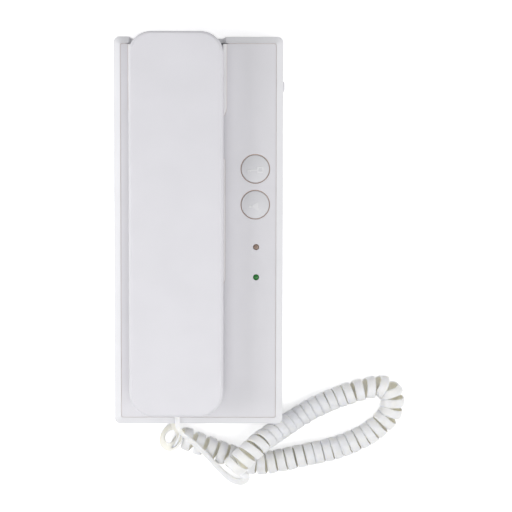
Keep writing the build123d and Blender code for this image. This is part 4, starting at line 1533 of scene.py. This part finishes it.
@dataclass
class VolumeSlider:
    """The slider in the right wall, with grip ribs on its knob."""

    rib_count: int = 5
    rib_sides: int = 16
    rib_radius: float = 0.22 * MM
    rib_margin: float = 0.8 * MM
    rib_sink_share: float = 1 / 3
    rib_length_share: float = 0.7
    face_depth: float = 0.3 * MM

    def build(self) -> list[Piece]:
        """Dress the knob and add its ribs.

        Returns:
            The knob and the row of ribs.
        """
        knob = skin("volume_slider", Body.VOLUME_KNOB, CASE_FINISH)
        low, high = self.knob_face()
        sunk = high.x - self.rib_radius * self.rib_sink_share
        ribs = RepeatRow(
            name="slider_ribs",
            shape=RowShape.RIB,
            sides=self.rib_sides,
            count=self.rib_count,
            start=Vector((sunk, low.y + self.rib_margin, (low.z + high.z) / 2)),
            step=EARWARD * ((high.y - low.y - 2 * self.rib_margin) / (self.rib_count - 1)),
            radius=self.rib_radius,
            length=(high.z - low.z) * self.rib_length_share,
            finish=CASE_FINISH,
        )
        return [knob, ribs.build(Body.VOLUME_KNOB, Slot.CASE)]

    def knob_face(self) -> tuple[Vector, Vector]:
        """The corners of the knob's outer face.

        Returns:
            The lowest and the highest corner.
        """
        places = [v.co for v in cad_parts["volume_slider"].data.vertices]
        outer = max(p.x for p in places)
        return corners([p for p in places if p.x > outer - self.face_depth])


@dataclass
class HandsetBody:
    """The handset's two halves, its screws, its socket and the plug in it."""

    def build(self) -> list[Piece]:
        """Dress the handset's visible nodes.

        Returns:
            The pieces.
        """
        return skins(
            Body.HANDSET,
            ("handset_shell_front", Slot.HANDSET, HANDSET_FINISH),
            ("handset_shell_back", Slot.HANDSET, HANDSET_FINISH),
            ("handset_screws", Slot.STEEL, STEEL_FINISH),
            ("handset_jack", Slot.BLACK, BLACK_FINISH),
            ("handset_plug", Slot.PLUG, PLUG_FINISH),
        )


@dataclass
class Mechanism:
    """Everything inside: the hook, the board, the capsules and their fixings."""

    poles: int = 5
    joint_sides: int = 14
    joint_radius: float = 0.8 * MM
    joint_height: float = 0.9 * MM

    def solder(self) -> Piece:
        """The joints that hold the terminal block's poles to the board.

        Returns:
            The row of joints.
        """
        low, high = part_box("terminal_block")
        board_low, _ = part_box("main_board")
        pitch = (high.y - low.y) / self.poles
        joints = RepeatRow(
            name="terminal_joints",
            shape=RowShape.JOINT,
            sides=self.joint_sides,
            count=self.poles,
            start=Vector(((low.x + high.x) / 2, low.y + pitch / 2, board_low.z)),
            step=EARWARD * pitch,
            radius=self.joint_radius,
            length=self.joint_height,
            turn=(math.pi, 0.0, 0.0),
            finish=SOLDER_FINISH,
        )
        return joints.build(Body.BASE, Slot.STEEL)

    def build(self) -> list[Piece]:
        """Dress the hidden nodes and solder the terminals to the board.

        Returns:
            The pieces.
        """
        made = skins(Body.HOOK, ("hook_plunger", Slot.CASE, CASE_FINISH))
        for finish, *nodes in (
            (SPRING_FINISH, "hook_spring"),
            (BOARD_FINISH, "main_board"),
            (TERMINAL_FINISH, "terminal_block"),
            (STEEL_FINISH, "terminal_screws", "board_screws", "handset_weight", "microphone_capsule"),
            (RUBBER_FINISH, "receiver_gasket", "microphone_boot"),
            (BLACK_FINISH, "door_switch", "call_switch", "hook_switch", "volume_switch"),
            (BLACK_FINISH, "board_parts", "call_sounder", "receiver_capsule"),
        ):
            made += repaint(nodes, finish)
        return [*made, self.solder()]


# Studio


@dataclass
class CameraRig:
    """The photograph's view: nearly straight down on the part, its places in millimetres."""

    place: Point = (24.94, 51.31, 950.0)
    target: Point = (31.33, -14.79, 0.0)
    roll: float = 0.002
    focal_share: float = 1713.7 / 512
    sensor: float = 36.0
    nearest: float = 0.05
    farthest: float = 20.0

    def build(self) -> None:
        """Add the camera and make it the scene's own."""
        data = bpy.data.cameras.new("camera")
        data.sensor_width = self.sensor
        data.lens = self.focal_share * self.sensor
        data.clip_start = self.nearest
        data.clip_end = self.farthest
        camera = add_object("camera", data)
        place, target = in_metres([self.place, self.target])
        forward = (target - place).normalized()
        right = forward.cross(EARWARD).normalized()
        up = right.cross(forward)
        turned = right * math.cos(self.roll) + up * math.sin(self.roll)
        upright = up * math.cos(self.roll) - right * math.sin(self.roll)
        turn = Matrix((turned, upright, -forward)).transposed()
        camera.matrix_world = Matrix.Translation(place) @ turn.to_4x4()
        bpy.context.scene.camera = camera


@dataclass(frozen=True)
class SoftLight:
    """A square soft light that faces the part: its place in millimetres, its power in watts and its side."""

    name: str
    place: Point
    power: float
    side: float

    def build(self) -> None:
        """Hang the light."""
        data = bpy.data.lights.new(self.name, "AREA")
        data.energy = self.power
        data.size = self.side
        lamp = add_object(self.name, data)
        lamp.location = Vector(self.place) * MM
        lamp.rotation_euler = (-lamp.location).to_track_quat("-Z", "Y").to_euler()


@dataclass
class Studio:
    """A pale floor, an even white surround and three soft lights."""

    floor_size: float = 6.0
    floor_drop: float = 0.3 * MM
    surround: float = 0.27
    lights: tuple[SoftLight, ...] = (
        SoftLight("overhead_light", (90.0, -480.0, 1200.0), power=6.1, side=0.8),
        SoftLight("left_light", (-560.0, -20.0, 400.0), power=2.7, side=0.6),
        SoftLight("right_light", (800.0, -80.0, 480.0), power=3.8, side=0.9),
    )

    def build(self) -> None:
        """Add the floor, the world and the lights."""
        half = self.floor_size / 2
        mesh = bpy.data.meshes.new("floor")
        ends = [(-half, -half), (half, -half), (half, half), (-half, half)]
        mesh.from_pydata([(x, y, -self.floor_drop) for x, y in ends], [], [(0, 1, 2, 3)])
        mesh.materials.append(FLOOR_FINISH.material())
        add_object("floor", mesh)
        for light in self.lights:
            light.build()
        self.world()
        bpy.context.scene.view_settings.view_transform = "Standard"

    def world(self) -> None:
        """A white surround that is dimmer as a light than it looks."""
        world = bpy.data.worlds.new("surround")
        world.use_nodes = True
        bpy.context.scene.world = world
        tree = world.node_tree
        back = tree.nodes["Background"]
        back.inputs["Color"].default_value = (*WHITE, 1.0)
        strength = tree.nodes.new("ShaderNodeMapRange")
        strength.inputs["To Min"].default_value = self.surround
        strength.inputs["To Max"].default_value = 1.0
        tree.links.new(seen_rays(tree), strength.inputs["Value"])
        tree.links.new(strength.outputs["Result"], back.inputs["Strength"])


def main() -> None:
    """Build the studio and each sub-assembly in order, and report each piece."""
    logging.basicConfig(level=logging.INFO, format="%(name)s: %(message)s")
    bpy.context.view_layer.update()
    CameraRig().build()
    Studio().build()
    assemblies = [
        CurlyCord(),
        WallBase(),
        PushButton("door_button", Body.DOOR_PUSH, "key_mark", key_outlines()),
        PushButton("call_button", Body.CALL_PUSH, "speaker_mark", speaker_outlines()),
        Lamps(),
        VolumeSlider(),
        HandsetBody(),
        Mechanism(),
    ]
    for assembly in assemblies:
        for piece in assembly.build():
            log.info("%s: %s, %d faces", type(assembly).__name__, piece.name, len(piece.data.polygons))


if __name__ == "__main__":
    main()
